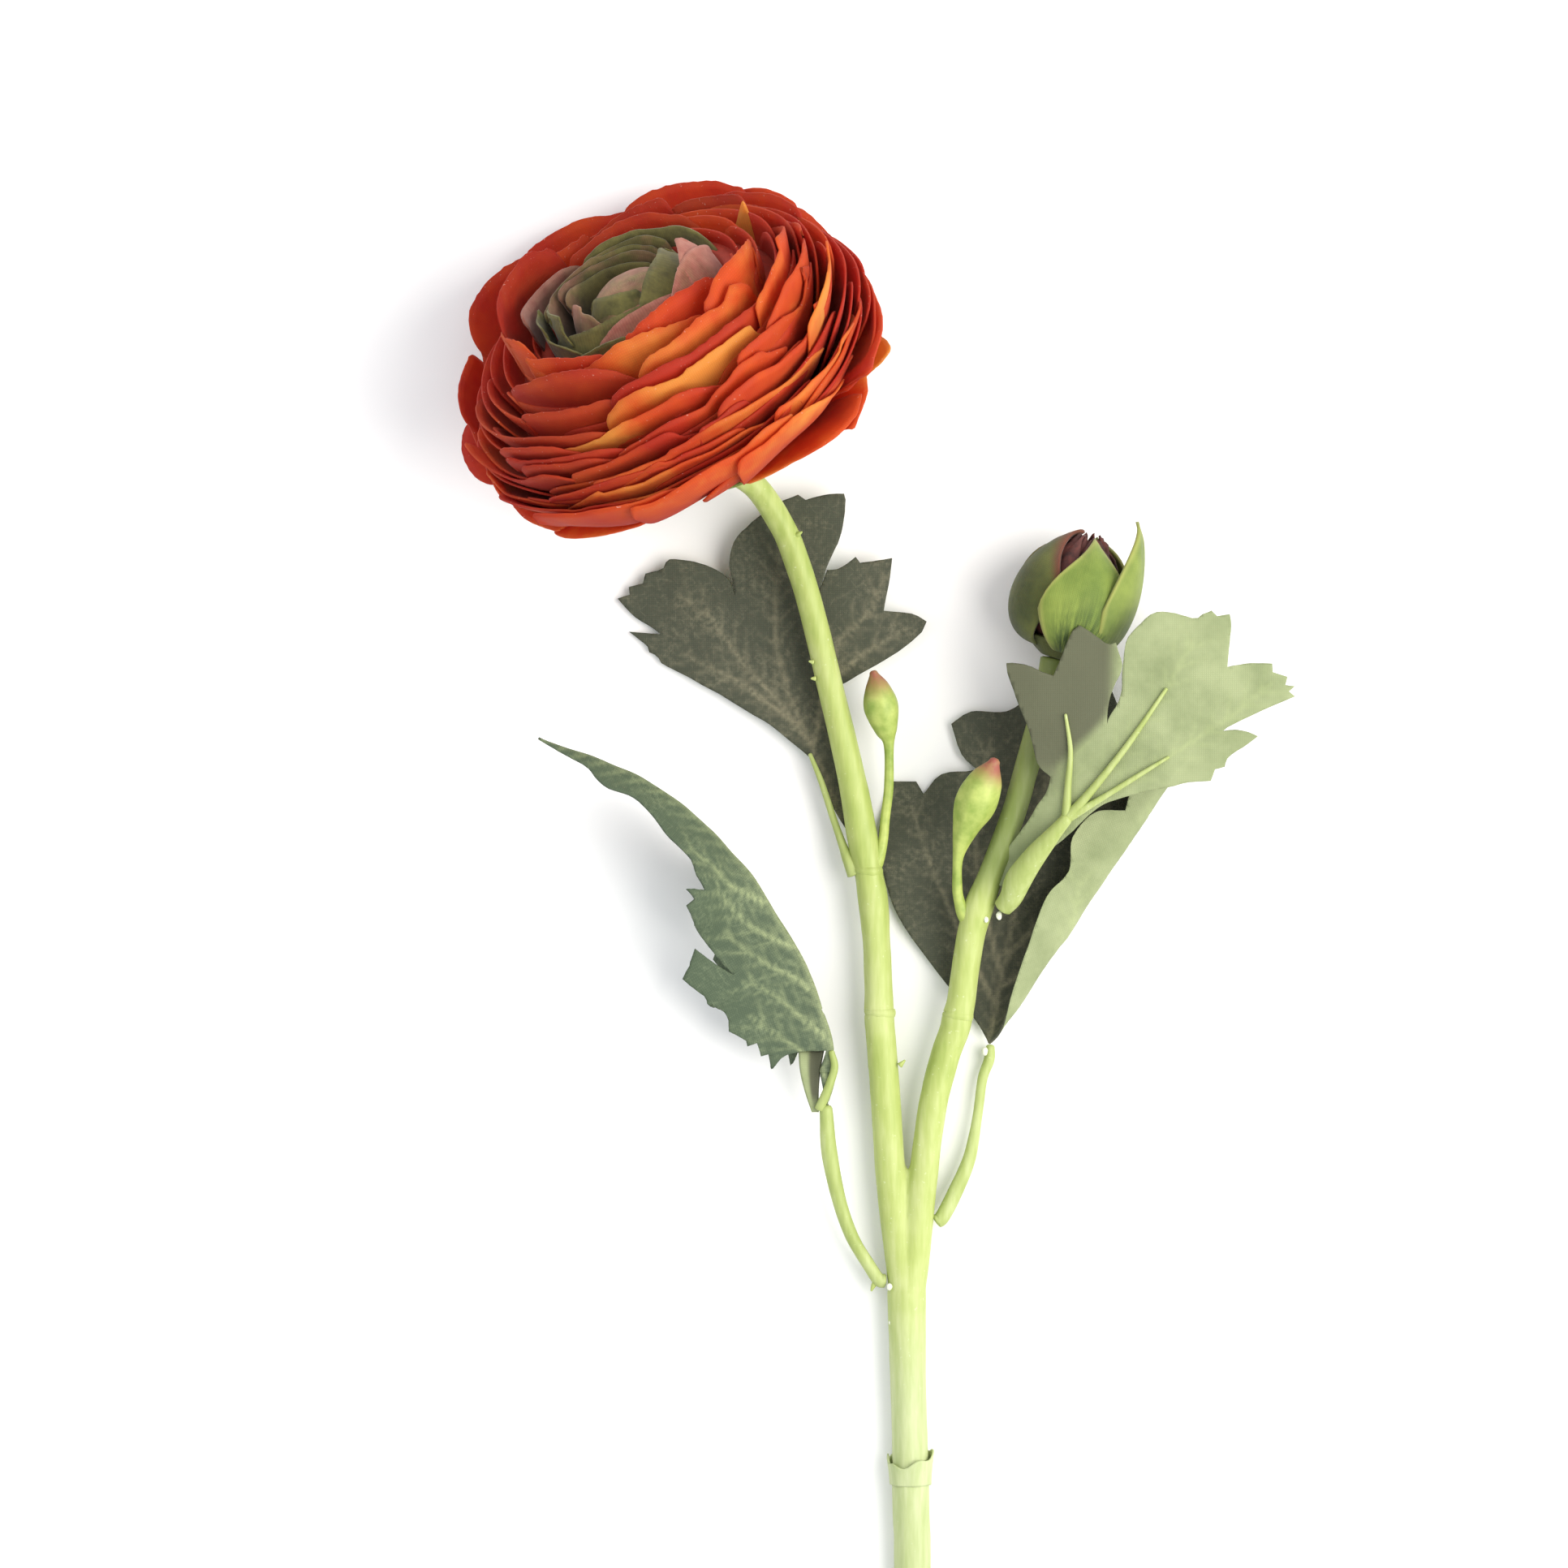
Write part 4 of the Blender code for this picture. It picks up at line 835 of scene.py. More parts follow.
        "droop": ((5.0, -16.6), (27.0, -17.5), (37.0, -10.0), (43.5, -12.0)),
        "hull": ((5.0, -16.6), (24.5, -16.0), (38.0, -9.5), (43.0, -2.0)),
        "under": ((5.0, -16.6), (25.0, -18.0), (38.0, -12.0), (45.0, -7.0)),
        "upright": ((5.0, -16.6), (34.0, -17.0), (43.0, -6.0), (43.6, 5.0)),
        "tall": ((5.0, -16.6), (34.0, -17.0), (42.5, 2.0), (43.5, 16.0)),
    },
}
# How a rim is found and followed: the lowest share of a run and the steps in which it is looked for, how much a turn
# weighs beside a height, how far the two ends drop, how far the lip turns out and how tall the flat petal is.
rimPath = {"lowest": 0.3, "step": 0.0085, "scale": 30, "drops": (0.12, 0.07), "lip": 0.45, "tall": 26}
# The petals that fill the depth between those set one by one: how high they rise in the first and the later layers,
# how far each layer is turned on from the last, where they start, how much their sides drop, and their looks.
fillers = {
    "rise": (0.76, 0.84),
    "stagger": 0.381966,
    "root": 0.34,
    "crown": 0.14,
    "wave": (0.2, 0.5),
    "tall": 26,
    "gold": (0.1, 0.4),
    # painted shade that darkens the fillers towards their roots
    "paintedDepthShade": 0.5,
}
# The outermost petals: layer, heading, half width, how far each reaches and how golden it is.
outerPetals = (
    (0.9, 59, 26, 0.99, 0.25), (0.9, 108, 25, 0.98, 0.35), (0.9, 158, 30, 0.98, 0.45), (0.9, 224, 28, 0.98, 0.5),
    (0.9, 287, 28, 0.98, 0.25), (0.9, 350, 30, 0.98, 0.2), (1.0, 20, 32, 1.0, 0.2), (1.0, 80, 32, 1.0, 0.3),
    (1.0, 142, 32, 0.98, 0.3), (1.0, 200, 32, 0.98, 0.35), (1.0, 262, 32, 1.0, 0.35), (1.0, 322, 32, 1.0, 0.2),
)


def fromMiddle(reading, x, y):  # pixels to the right of and above the photograph's middle
    middle = stage["pixels"] / 2
    return (
        reading["readAt"][0] + x / reading["zoom"][0] - middle,
        middle - (reading["readAt"][1] + y / reading["zoom"][1]),
    )


def sightLine(x, y, reading):  # start and direction in the bloom's own frame of what the camera sees at that spot
    right, above = fromMiddle(reading, x, y)
    way = Vector((right * photoPixel, above * photoPixel, -1))
    inverse = bloomFrame.inverted()
    return inverse @ Vector(stage["cameraAt"]), inverse.to_3x3() @ way


def onOutside(start, way):  # where the line meets the bloom's rounded outside
    squash = Vector((1 / bloom["radius"], 1 / bloom["radius"], 1 / bloom["halfDepth"]))
    a, b = start * squash, way * squash
    middle = -a.dot(b) / b.length_squared
    gap = 1 - (a + b * middle).length_squared
    depth = middle - math.sqrt(max(0, gap)) / b.length
    return start + way * depth


def crossing(start, way, run, heading, highest):  # angle and height at which a line of sight meets a layer of petals
    def miss(t):
        here = alongRun(run, t)
        spot = start + way * ((here.y - start.z) / way.z)
        return spot.xy.length - here.x, spot

    best, least = None, math.inf
    lowest, step = rimPath["lowest"], rimPath["step"]
    steps = [highest - step * k for k in range(int((highest - lowest) / step))]
    for high, low in zip(steps, steps[1:]):
        if (miss(high)[0] <= 0) != (miss(low)[0] <= 0):
            spot = miss(low)[1]
            turn = (math.atan2(spot.y, spot.x) - heading + math.pi) % (2 * math.pi) - math.pi
            if abs(turn) + abs(low - 1) < least:
                best, least = (heading + turn, low), abs(turn) + abs(low - 1)
    return best


def seenHome(points, reading):  # how far out the petal's layer is, and where round the bloom the petal stands
    hits = [onOutside(*sightLine(x, y, reading)) for x, y in points]
    angles = sorted(math.degrees(math.acos(max(-1, min(1, hit.z / bloom["halfDepth"])))) for hit in hits)
    low, high = bloom["rimAngles"]
    middle = hits[len(hits) // 2]
    share = (angles[len(angles) // 3] - low) / (high - low)
    inmost, outmost = reading["layers"]
    return min(outmost, max(inmost, share)), math.atan2(middle.y, middle.x)


def evenSteps(rim, count):  # the rim's path again, in even steps
    route = smoothRoute([(turn * rimPath["scale"], height * rimPath["scale"], 0) for turn, height in rim], 6)
    walked = [0.0]
    for start, end in zip(route, route[1:]):
        walked.append(walked[-1] + (end - start).length)
    found = []
    k = 0
    for step in range(count + 1):
        goal = walked[-1] * step / count
        while k < len(route) - 2 and walked[k + 1] < goal:
            k += 1
        span = walked[k + 1] - walked[k]
        spot = route[k].lerp(route[k + 1], (goal - walked[k]) / span if span else 0)
        found.append((spot.x / rimPath["scale"], spot.y / rimPath["scale"]))
    return found


def seenPetal(bm, table, run, heading, points, values, rng, limit="highest"):
    rim = [crossing(*sightLine(x, y, table), run, heading, table[limit]) for x, y in points]
    rim = [hit for hit in rim if hit]
    if rim[-1][0] < rim[0][0]:
        rim.reverse()
    (firstTurn, firstHeight), (lastTurn, lastHeight) = rim[0], rim[-1]
    leftDrop, rightDrop = rimPath["drops"]
    rim.insert(0, (firstTurn - math.radians(table["rounded"]), firstHeight - leftDrop))
    rim.append((lastTurn + math.radians(table["hidden"]), lastHeight - rightDrop))
    across = table["across"]
    path = evenSteps(rim, across)
    turns = [turn for turn, _ in path]
    centre, half = (max(turns) + min(turns)) / 2, (max(turns) - min(turns)) / 2
    wave, phase = rng.uniform(*table["wave"]), rng.uniform(0, 6)

    def shape(u, v):
        turn, height = path[round((u + 1) / 2 * across)]
        height += table["fray"] * v**8 * grain(60 * turn, 9 * height, phase, 2.0)
        t = blend(table["root"], height, v)
        here, out = offRun(run, t)
        side = (turn - centre) / half
        ripple = wave * math.sin(math.pi * v) * math.sin(3.4 * side + phase)
        lip = rimPath["lip"] * ease(v, 0.8, 1) ** 2
        r, z = here + out * (table["twist"] * side * min(1, 2.2 * t) + ripple + lip)
        return inBloom(r, centre + (turn - centre) * widen(t) / widen(height), z)

    addSheet(bm, across, table["along"], shape, (2 * half * run[3][0], rimPath["tall"]), values)


def seenValues(tones, dark):
    def gold(u, v):
        tone = blend(tones[1], tones[2], u) if u > 0 else blend(tones[1], tones[0], -u)
        return tone * (0.55 + 0.45 * ease(v, 0.45, 0.95))

    return {
        "gold": gold,
        # painted shade: darker towards the root, added to each petal's own share of painted shade
        "paintedDepthShade": lambda u, v: dark + (0.5 - dark) * (1 - ease(v, 0.1, 0.6)),
        "edge": lambda u, v: ease(v, 0.9, 1),
    }


def addPetal(bm, across, along, shape, flatSize, gold, paintedDepthShade):
    values = {
        "gold": lambda u, v: gold * (0.4 + 0.6 * ease(v, 0.3, 0.9)),
        "paintedDepthShade": lambda u, v: paintedDepthShade * (1 - ease(v, 0.1, 0.75)),
        "edge": lambda u, v: max(ease(v, 0.86, 1), 0.5 * ease(abs(u), 0.9, 1)),
    }
    addSheet(bm, across, along, shape, flatSize, values)


def makeBloomPetals():
    rng = random.Random(7)
    last = len(bloom["petalsInLayer"]) - 1
    groups = {name: newMesh("gold", "paintedDepthShade", "edge") for name in ("petalsWithin", "petalsAround", "petalsOuter")}
    for layer, count in enumerate(bloom["petalsInLayer"][:-1]):
        run = layerRun(layer / last)
        rise = blend(*fillers["rise"], min(1, layer / 3))
        halfAngle = bloom["overlap"] * math.pi / count
        for k in range(count):
            heading = 2 * math.pi * (k / count + fillers["stagger"] * (last - layer))
            shape = petalShape(
                run, heading, halfAngle, bloom["turn"], fillers["root"], 1 - rise * (1 - fillers["crown"]),
                rng.uniform(*fillers["wave"]), rng.uniform(0, 6), curl=0.2, blunt=8, ruffle=0.1,
            )
            lowered = lambda u, v, s=shape, r=rise: s(u, v * r)
            flatSize = (2 * halfAngle * run[3][0], fillers["tall"])
            gold = rng.uniform(*fillers["gold"])
            addPetal(groups["petalsWithin"], 20, 14, lowered, flatSize, gold, fillers["paintedDepthShade"])
    for tones, dark, points in seenPetals["around"]:
        share, heading = seenHome(points, seenPetals)
        looks = seenValues(tones, dark)
        seenPetal(groups["petalsAround"], seenPetals, layerRun(share), heading, points, looks, rng)
    for layer, tones, dark, points in seenPetals["outline"]:
        layer, heading = layer if isinstance(layer, tuple) else (layer, None)
        heading = seenHome(points, seenPetals)[1] if heading is None else math.radians(heading)
        run = seenPetals["runs"].get(layer) or layerRun(layer)
        looks = seenValues(tones, dark)
        seenPetal(groups["petalsOuter"], seenPetals, run, heading, points, looks, rng, "highestPlaced")
    for share, heading, halfAngle, reach, gold in outerPetals:
        shape = petalShape(
            layerRun(share, reach), math.radians(heading), math.radians(halfAngle), bloom["turn"], 0.04, 0.14,
            0.35, heading, curl=-0.3, blunt=5, ruffle=0.2,
        )
        flatSize = (2 * math.radians(halfAngle) * bloom["radius"], 42)
        # 0.3 is the painted shade towards the outer petals' roots
        addPetal(groups["petalsWithin"], 24, 20, shape, flatSize, gold, 0.3)
    for name, bm in groups.items():
        finishPiece(name, bm, [petalCloth], "bloom_petals", bloom["wall"])


def makeBloomCore():
    profile = [
        (0, 2.0), (9, 2.0), (18.0, 2.0), (18.5, 9.0), (18.6, 13.6), (21.0, 13.0), (25.0, 10.2), (28.6, 6.6),
        (30.8, 1.8), (30.6, -3.2), (28.0, -7.6), (22.0, -12.0), (16, -15.2), (6.5, -18.2), (0, -18.2),
    ]
    bm = newMesh()
    line = [bm.verts.new((r, 0, z)) for r, z in profile]
    edges = [bm.edges.new(pair) for pair in zip(line, line[1:])]
    bmesh.ops.spin(
        bm, geom=line + edges, cent=(0, 0, 0), axis=(0, 0, 1), angle=2 * math.pi, steps=48, use_merge=True
    )
    bmesh.ops.remove_doubles(bm, verts=bm.verts, dist=1e-4)
    bmesh.ops.recalc_face_normals(bm, faces=bm.faces)
    bmesh.ops.transform(bm, matrix=Matrix.Scale(mm, 4) @ bloomFrame, verts=bm.verts)
    finishPiece("bloomCore", bm, [coreCloth], "bloom_petals")


# The heart's petals: radius of the curve that each follows, how much of it is left where it closes, heading, how
# mauve, how much painted shade darkens it, then the rim.
heart = {
    "readAt": (610.0, 250.0),
    "zoom": (5.06, 5.06),
    "petals": (
        # rings whose inner faces show, from the outside in
        (20.6, 0.97, 50, 0.95, 0.35, ((158, 800), (156, 755), (170, 695), (205, 625), (262, 558), (330, 492),
            (400, 432), (470, 402), (530, 398))),
        (18.8, 0.97, 315, 0.0, 0.1, ((560, 350), (598, 312), (640, 270), (720, 228), (800, 198), (860, 178),
            (940, 172), (1020, 165), (1085, 150), (1150, 152), (1240, 188), (1300, 233), (1352, 285), (1385, 325))),
        (17.4, 0.97, 60, 0.1, 0.2, ((296, 790), (300, 760), (315, 690), (340, 630), (390, 550), (450, 490),
            (520, 440), (590, 390), (640, 360))),
        (17.0, 0.97, 300, 0.35, 0.25, ((590, 352), (640, 330), (700, 290), (780, 255), (860, 226), (930, 213),
            (1000, 222), (1060, 245), (1112, 310), (1140, 380))),
        (15.9, 0.97, 335, 0.3, 0.25, ((335, 690), (342, 640), (362, 580), (402, 528), (450, 480), (502, 430),
            (560, 384), (604, 348), (662, 338), (730, 309), (790, 284), (860, 270), (930, 274), (990, 284))),
        (14.3, 0.97, 330, 0.35, 0.4, ((400, 560), (430, 512), (480, 478), (540, 440), (600, 402), (650, 380),
            (720, 350), (800, 320), (870, 305), (930, 309), (1010, 342))),
        (12.6, 0.97, 10, 0.15, 0.3, ((446, 790), (436, 730), (434, 670), (446, 600), (462, 550), (502, 520),
            (560, 490), (620, 455), (680, 420), (740, 400), (810, 385), (880, 380), (960, 388))),
        # petals that lean over the heart, whose outer faces show
        (17.9, 0.65, 265, 1.0, 0.0, ((1200, 480), (1148, 390), (1136, 300), (1119, 238), (1132, 152), (1150, 140))),
        (18.4, 0.65, 230, 0.85, 0.0, ((1060, 640), (1086, 598), (1101, 530), (1126, 440), (1147, 388), (1190, 320),
            (1240, 286), (1300, 268), (1330, 262))),
        (14.6, 0.3, 235, 0.1, 0.05, ((903, 660), (906, 600), (926, 500), (962, 400), (1012, 306), (1040, 290),
            (1075, 300))),
        (17.5, 0.6, 180, 1.0, 0.05, ((664, 880), (700, 822), (742, 768), (800, 720), (862, 675), (930, 640),
            (1000, 600), (1084, 570), (1120, 560))),
        (17.0, 0.5, 140, 0.05, 0.05, ((360, 872), (378, 866), (420, 850), (480, 828), (550, 805), (620, 775),
            (680, 745), (740, 710), (800, 685), (860, 660), (910, 640))),
        (16.4, 0.85, 92, 0.0, 0.0, ((346, 840), (345, 780), (352, 710), (371, 642), (394, 705), (420, 775),
            (452, 832))),
        (18.0, 0.95, 105, 0.0, 0.0, ((283, 660), (283, 700), (300, 770), (335, 840), (378, 872), (430, 892),
            (480, 912), (540, 938))),
        (18.6, 0.8, 150, 0.05, 0.0, ((500, 975), (525, 960), (560, 936), (620, 906), (680, 872), (740, 850),
            (810, 832))),
        (12.8, 0.55, 90, 0.5, 0.05, ((452, 828), (464, 740), (488, 684), (469, 632), (512, 640), (546, 652),
            (556, 684), (602, 704), (660, 748))),
        (9.9, 0.15, 130, 0.05, 0.0, ((560, 700), (600, 652), (642, 610), (700, 590), (780, 565), (850, 545),
            (892, 545), (912, 600))),
    ),
    "over": 0.8,  # how far above its shoulder a petal would close
    "shoulder": (17.2, 0.33),
    "across": 40,
    "along": 14,
    "root": 0.12,
    "highest": 1.02,
    "rounded": 3.0,
    "hidden": 4.0,
    "twist": -0.25,
    "wave": (0.05, 0.2),
    "fray": 0.006,
    "budRun": ((8.6, 5.0), (10.6, 13.0), (10.4, 19.8), (0.0, 19.9)),
    "wall": 0.36,
}


def heartRun(radius, closing):
    top = heart["shoulder"][0] + heart["shoulder"][1] * radius
    return ((radius * 0.92, 4), (radius * 1.04, 12), (radius, top - 1.5), (radius * closing, top + heart["over"]))


def makeHeart():
    rng = random.Random(3)
    bm = newMesh("mauve", "paintedDepthShade")
    for radius, closing, heading, mauve, dark, points in heart["petals"]:
        values = {
            "mauve": lambda u, v, m=mauve: m * (0.6 + 0.4 * v),
            "paintedDepthShade": lambda u, v, d=dark: d + (0.85 - d) * (1 - ease(v, 0.25, 0.8)),
        }
        seenPetal(bm, heart, heartRun(radius, closing), math.radians(heading), points, values, rng)
    finishPiece("heartPetals", bm, [heartCloth], "bloom_heart", heart["wall"])

    def dome(u, v):
        distance, height = alongRun(heart["budRun"], v)
        angle = math.pi * u
        crease = 1 + 0.05 * grain(2.2 * math.cos(angle), 2.2 * math.sin(angle), 3 * v, 1.0)
        return bloomFrame @ Vector((distance * crease * math.cos(angle), distance * crease * math.sin(angle), height))

    bm = newMesh("mauve", "paintedDepthShade")
    # painted shade round the foot of the heart's bud
    values = {"mauve": lambda u, v: 0.5, "paintedDepthShade": lambda u, v: 0.7 * (1 - ease(v, 0.3, 0.7))}
    addSheet(bm, 48, 24, dome, (40, 18), values)
    bmesh.ops.remove_doubles(bm, verts=bm.verts, dist=1e-7)
    finishPiece("heartBud", bm, [heartCloth], "bloom_heart", heart["wall"])


calyx = {
    "sepals": 5,
    "first": 184.0,
    "halfAngle": 36.0,
    "run": ((2.4, -22.6), (7.0, -20.6), (15.0, -19.4), (23.5, -17.6)),
    "cup": ((-22.9, 2.7), (-21.6, 3.3), (-20.0, 4.6), (-18.6, 6.0)),  # height and radius
    "wall": 0.5,
}


def makeCalyx():
    bm = newMesh("vein", "pale")
    for k in range(calyx["sepals"]):
        heading = math.radians(calyx["first"] + 360 * k / calyx["sepals"])
        half = math.radians(calyx["halfAngle"])
        shape = petalShape(calyx["run"], heading, half, 0.3, 0.0, 0.45, 0.15, k, blunt=1.9)
        values = {
            "vein": lambda u, v: math.exp(-((u / 0.06) ** 2)) * (1 - 0.6 * v),
            "pale": lambda u, v: 0.4 * ease(v, 0.8, 1),
        }
        addSheet(bm, 18, 16, shape, (14, 14), values)
    finishPiece("calyxSepals", bm, [calyxGreen], "calyx", calyx["wall"])
    bm = newMesh("vein", "pale")
    foot = [(*(bloomFrame @ Vector((0, 0, z))), r) for z, r in calyx["cup"]]
    addStem(bm, foot, 28, 6, 0.1, 0.05, 0.02)
    finishPiece("calyxCup", bm, [calyxGreen], "calyx")


makeBloomPetals()
makeBloomCore()
makeHeart()
makeCalyx()
print("bloom made")


# the large bud

bud = {
    "base": (35.0, 85.5, 11.9),
    "top": (42.2, 109.4, 13.6),
    "radius": 13.2,
    "wall": 0.6,
    "turn": -0.45,
    # heading and half width, how far outside the rest, radius and height of the tip, how much the sides fall short,
    # then how fresh the green is, how strong the green streaks are and how red the tip is
    "sepals": (
        (10, 64, 0.0, 1.5, 25.6, 0.42, 0.05, 0.3, 1.0),
        (108, 54, 1.0, 2.2, 24.2, 0.6, 0.85, 1.0, 0.0),
        (160, 46, 0.2, 8.2, 30.4, 0.52, 0.7, 0.5, 0.0),
        (245, 52, 0.8, 3.0, 25.0, 0.42, 0.3, 0.5, 0.2),
        (306, 50, 0.0, 3.0, 25.4, 0.42, 0.2, 0.4, 0.3),
    ),
    "corePetals": 7,
}


def makeBud():
    base, top = Vector(bud["base"]), Vector(bud["top"])
    axis = top - base
    height = axis.length
    budFrame = Matrix.Translation(base) @ axis.to_track_quat("Z", "Y").to_matrix().to_4x4()
    toBud = budFrame @ bloomFrame.inverted()
    bm = newMesh("fresh", "root", "edge", "blush")
    for k, (heading, halfAngle, out, tipRadius, tipHeight, point, fresh, streak, blush) in enumerate(bud["sepals"]):
        wide = bud["radius"] * 1.1 + out
        run = ((5.2, 1.8), (wide, height * 0.1), (wide, height * 0.8), (tipRadius, tipHeight))
        inner = petalShape(run, math.radians(heading), math.radians(halfAngle), bud["turn"], 0.0, point, 0.25, k,
                           blunt=1.6, ruffle=0.3)
        values = {
            "fresh": lambda u, v, f=fresh: f * (0.75 + 0.25 * v),
            "root": lambda u, v, s=streak: s * (1 - ease(v, 0.2, 0.75)) * (1 - ease(abs(u), 0.5, 0.95)),
            "edge": lambda u, v, f=fresh: f * max(ease(v, 0.9, 1), ease(abs(u), 0.84, 1)),
            "blush": lambda u, v, b=blush: b * ease(v, 0.82, 1),
        }
        addSheet(bm, 28, 30, lambda u, v: toBud @ inner(u, v), (26, 30), values)
    finishPiece("budSepals", bm, [sepalCloth], "bud_sepals", bud["wall"])
    bm = newMesh("fresh", "root", "edge", "blush")
    cup = [(*(budFrame @ Vector((0, 0, z))), r) for z, r in ((0.1, 2.7), (1.0, 4.2), (2.0, 5.6), (3.4, 7.2))]
    addStem(bm, cup, 28, 6, 0.05, 0.05, 0.02)
    finishPiece("budCup", bm, [sepalCloth], "bud_sepals")

    rng = random.Random(5)
    bm = newMesh()
    inner = bud["radius"] - 3.3
    for ring in range(3):
        for k in range(bud["corePetals"]):
            heading = 2 * math.pi * (k / bud["corePetals"] + 0.38 * ring)
            size = inner * (1 - 0.22 * ring)
            tip = height * rng.uniform(0.93, 1.02)
            run = ((2.5, 3.2), (size * 1.25, height * 0.12), (size * 1.1, height * 0.8), (1.6 + 0.5 * ring, tip))
            shape = petalShape(run, heading, 0.62, 0.5, 0.0, 0.35, 0.2, rng.uniform(0, 6), blunt=1.8, ruffle=0.4)
            addSheet(bm, 12, 14, lambda u, v: toBud @ shape(u, v), (10, 24))
    finishPiece("budCorePetals", bm, [budDark], "bud_petals", 0.4)


makeBud()
print("bud made")


# the leaves

leafUpper = {
    "place": (-12.9, 77.6),
    "readAt": (735.4, 581.2),
    "zoom": (3.35, 3.4),
    "height": 5.0,
    "stalk": (
        (-4.4, 42.6, 6.8, 1.5), (-5.6, 45.4, 6.8, 1.2), (-6.6, 48.0, 6.4, 0.9), (-7.6, 50.8, 5.8, 0.75),
        (-8.9, 54.6, 5.2, 0.7), (-11.0, 61.0, 5.0, 0.6), (-13.2, 66.4, 5.0, 0.4),
    ),
    "margin": (
        (1030, 1500), (985, 1425), (945, 1345), (915, 1270), (890, 1212), (858, 1178), (800, 1130), (740, 1080),
        (700, 1050), (640, 1015), (560, 965), (500, 927), (440, 895), (380, 860), (320, 830), (265, 800), (248, 770),
        (215, 754), (208, 730), (172, 700), (130, 668), (200, 674), (262, 678), (225, 650), (160, 610), (120, 570),
        (85, 528), (135, 512), (132, 480), (190, 465), (200, 425), (270, 405), (284, 378), (300, 366), (380, 372),
        (440, 388), (500, 415), (542, 450), (560, 490), (572, 518), (560, 450), (547, 388), (560, 312), (580, 272),
        (620, 232), (675, 182), (720, 145), (775, 120), (830, 98), (862, 120), (900, 108), (960, 96), (1020, 94),
        (1026, 125), (1020, 200), (1002, 280), (976, 340), (950, 396), (932, 455), (904, 514), (930, 470),
        (950, 412), (995, 407), (1032, 385), (1068, 357), (1086, 382), (1140, 375), (1219, 362), (1210, 440),
        (1196, 510), (1184, 582), (1250, 588), (1310, 596), (1362, 626), (1342, 670), (1300, 710), (1240, 755),
        (1150, 810), (1080, 850), (1010, 892), (975, 900), (960, 960), (965, 1060), (985, 1180), (1010, 1320),
        (1035, 1430),
    ),
    "veins": (
        ((5.5, -24), (3, -16), (-0.3, -9), (-5.2, 2.3), (-7.1, 11), (-6.9, 24), (-6, 33)),
        ((-0.3, -9), (-3.2, -5), (-7.1, 0), (-14.1, 7.6), (-19.9, 15.6), (-27, 21)),
        ((-3.2, -5), (-14, 3), (-26, 9)),
        ((0.5, -9), (3, 3), (5.6, 11.8), (12, 17.5), (14.5, 24)),
        ((3, 3), (10.5, 9), (19, 14)),
    ),
}
leafFront = {
    "place": (41.7, 63.0),
    "readAt": (1150.3, 621.4),
    "zoom": (3.34, 3.34),
    "height": 22.0,
    "stalk": (
        (24.9, 36.0, 11.0, 1.9), (26.5, 38.2, 12.2, 2.3), (28.0, 41.8, 13.8, 2.6), (31.0, 46.3, 16.4, 2.2),
        (34.3, 50.4, 18.5, 1.6), (37.0, 53.6, 19.6, 1.2),
    ),
    "margin": (
        (232, 1560), (262, 1500), (320, 1412), (368, 1345), (408, 1285), (440, 1228), (472, 1180), (486, 1120),
        (442, 1082), (425, 1045), (410, 990), (394, 930), (370, 870), (345, 810), (324, 750), (306, 702), (299, 655),
        (345, 655), (400, 668), (445, 690), (492, 706), (520, 640), (545, 572), (570, 522), (597, 500), (640, 526),
        (682, 557), (712, 577), (746, 570), (760, 618), (773, 656), (768, 692), (745, 740), (725, 792), (714, 850),
        (713, 905), (722, 872), (752, 828), (771, 765), (772, 700), (778, 640), (786, 572), (810, 530), (850, 490),
        (880, 460), (920, 445), (980, 450), (1030, 462), (1070, 473), (1100, 456), (1136, 440), (1160, 463),
        (1211, 455), (1217, 492), (1213, 560), (1206, 620), (1203, 671), (1250, 662), (1300, 655), (1386, 657),
        (1389, 692), (1449, 711), (1440, 745), (1479, 750), (1456, 771), (1481, 792), (1400, 826), (1300, 870),
        (1205, 918), (1186, 934), (1240, 928), (1290, 938), (1330, 955), (1270, 1000), (1206, 1045), (1196, 1080),
        (1156, 1090), (1139, 1138), (1050, 1145), (960, 1165), (850, 1187), (750, 1217), (700, 1236), (640, 1282),
        (600, 1322), (560, 1362), (500, 1412), (440, 1462), (360, 1530), (300, 1580),
    ),
    "ribs": (
        ((-4.7, -9.4, 1.5, 1.1), (0, -4, 1.1, 0.8), (7, 5, 0.9, 0.6), (14.5, 16, 0.7, 0.35)),
        ((-4.7, -9.4, 1.5, 1.0), (-4.4, -3, 1.1, 0.7), (-4, 4, 0.9, 0.5), (-5, 11, 0.7, 0.3)),
        ((-4.7, -9.4, 1.5, 1.0), (2, -5.4, 1.0, 0.6), (9, -1, 0.8, 0.5), (15, 2.7, 0.7, 0.3)),
    ),
    "veins": (
        ((-4.7, -9.4), (0, -4), (7, 5), (14.5, 16), (20, 26)),
        ((-4.7, -9.4), (-4.4, -3), (-4, 4), (-5, 11), (-4, 22)),
        ((-4.7, -9.4), (2, -5.4), (9, -1), (15, 2.7), (26, 10), (35, 17)),
        ((-4.4, -3), (-9, 8), (-13, 17)),
    ),
}
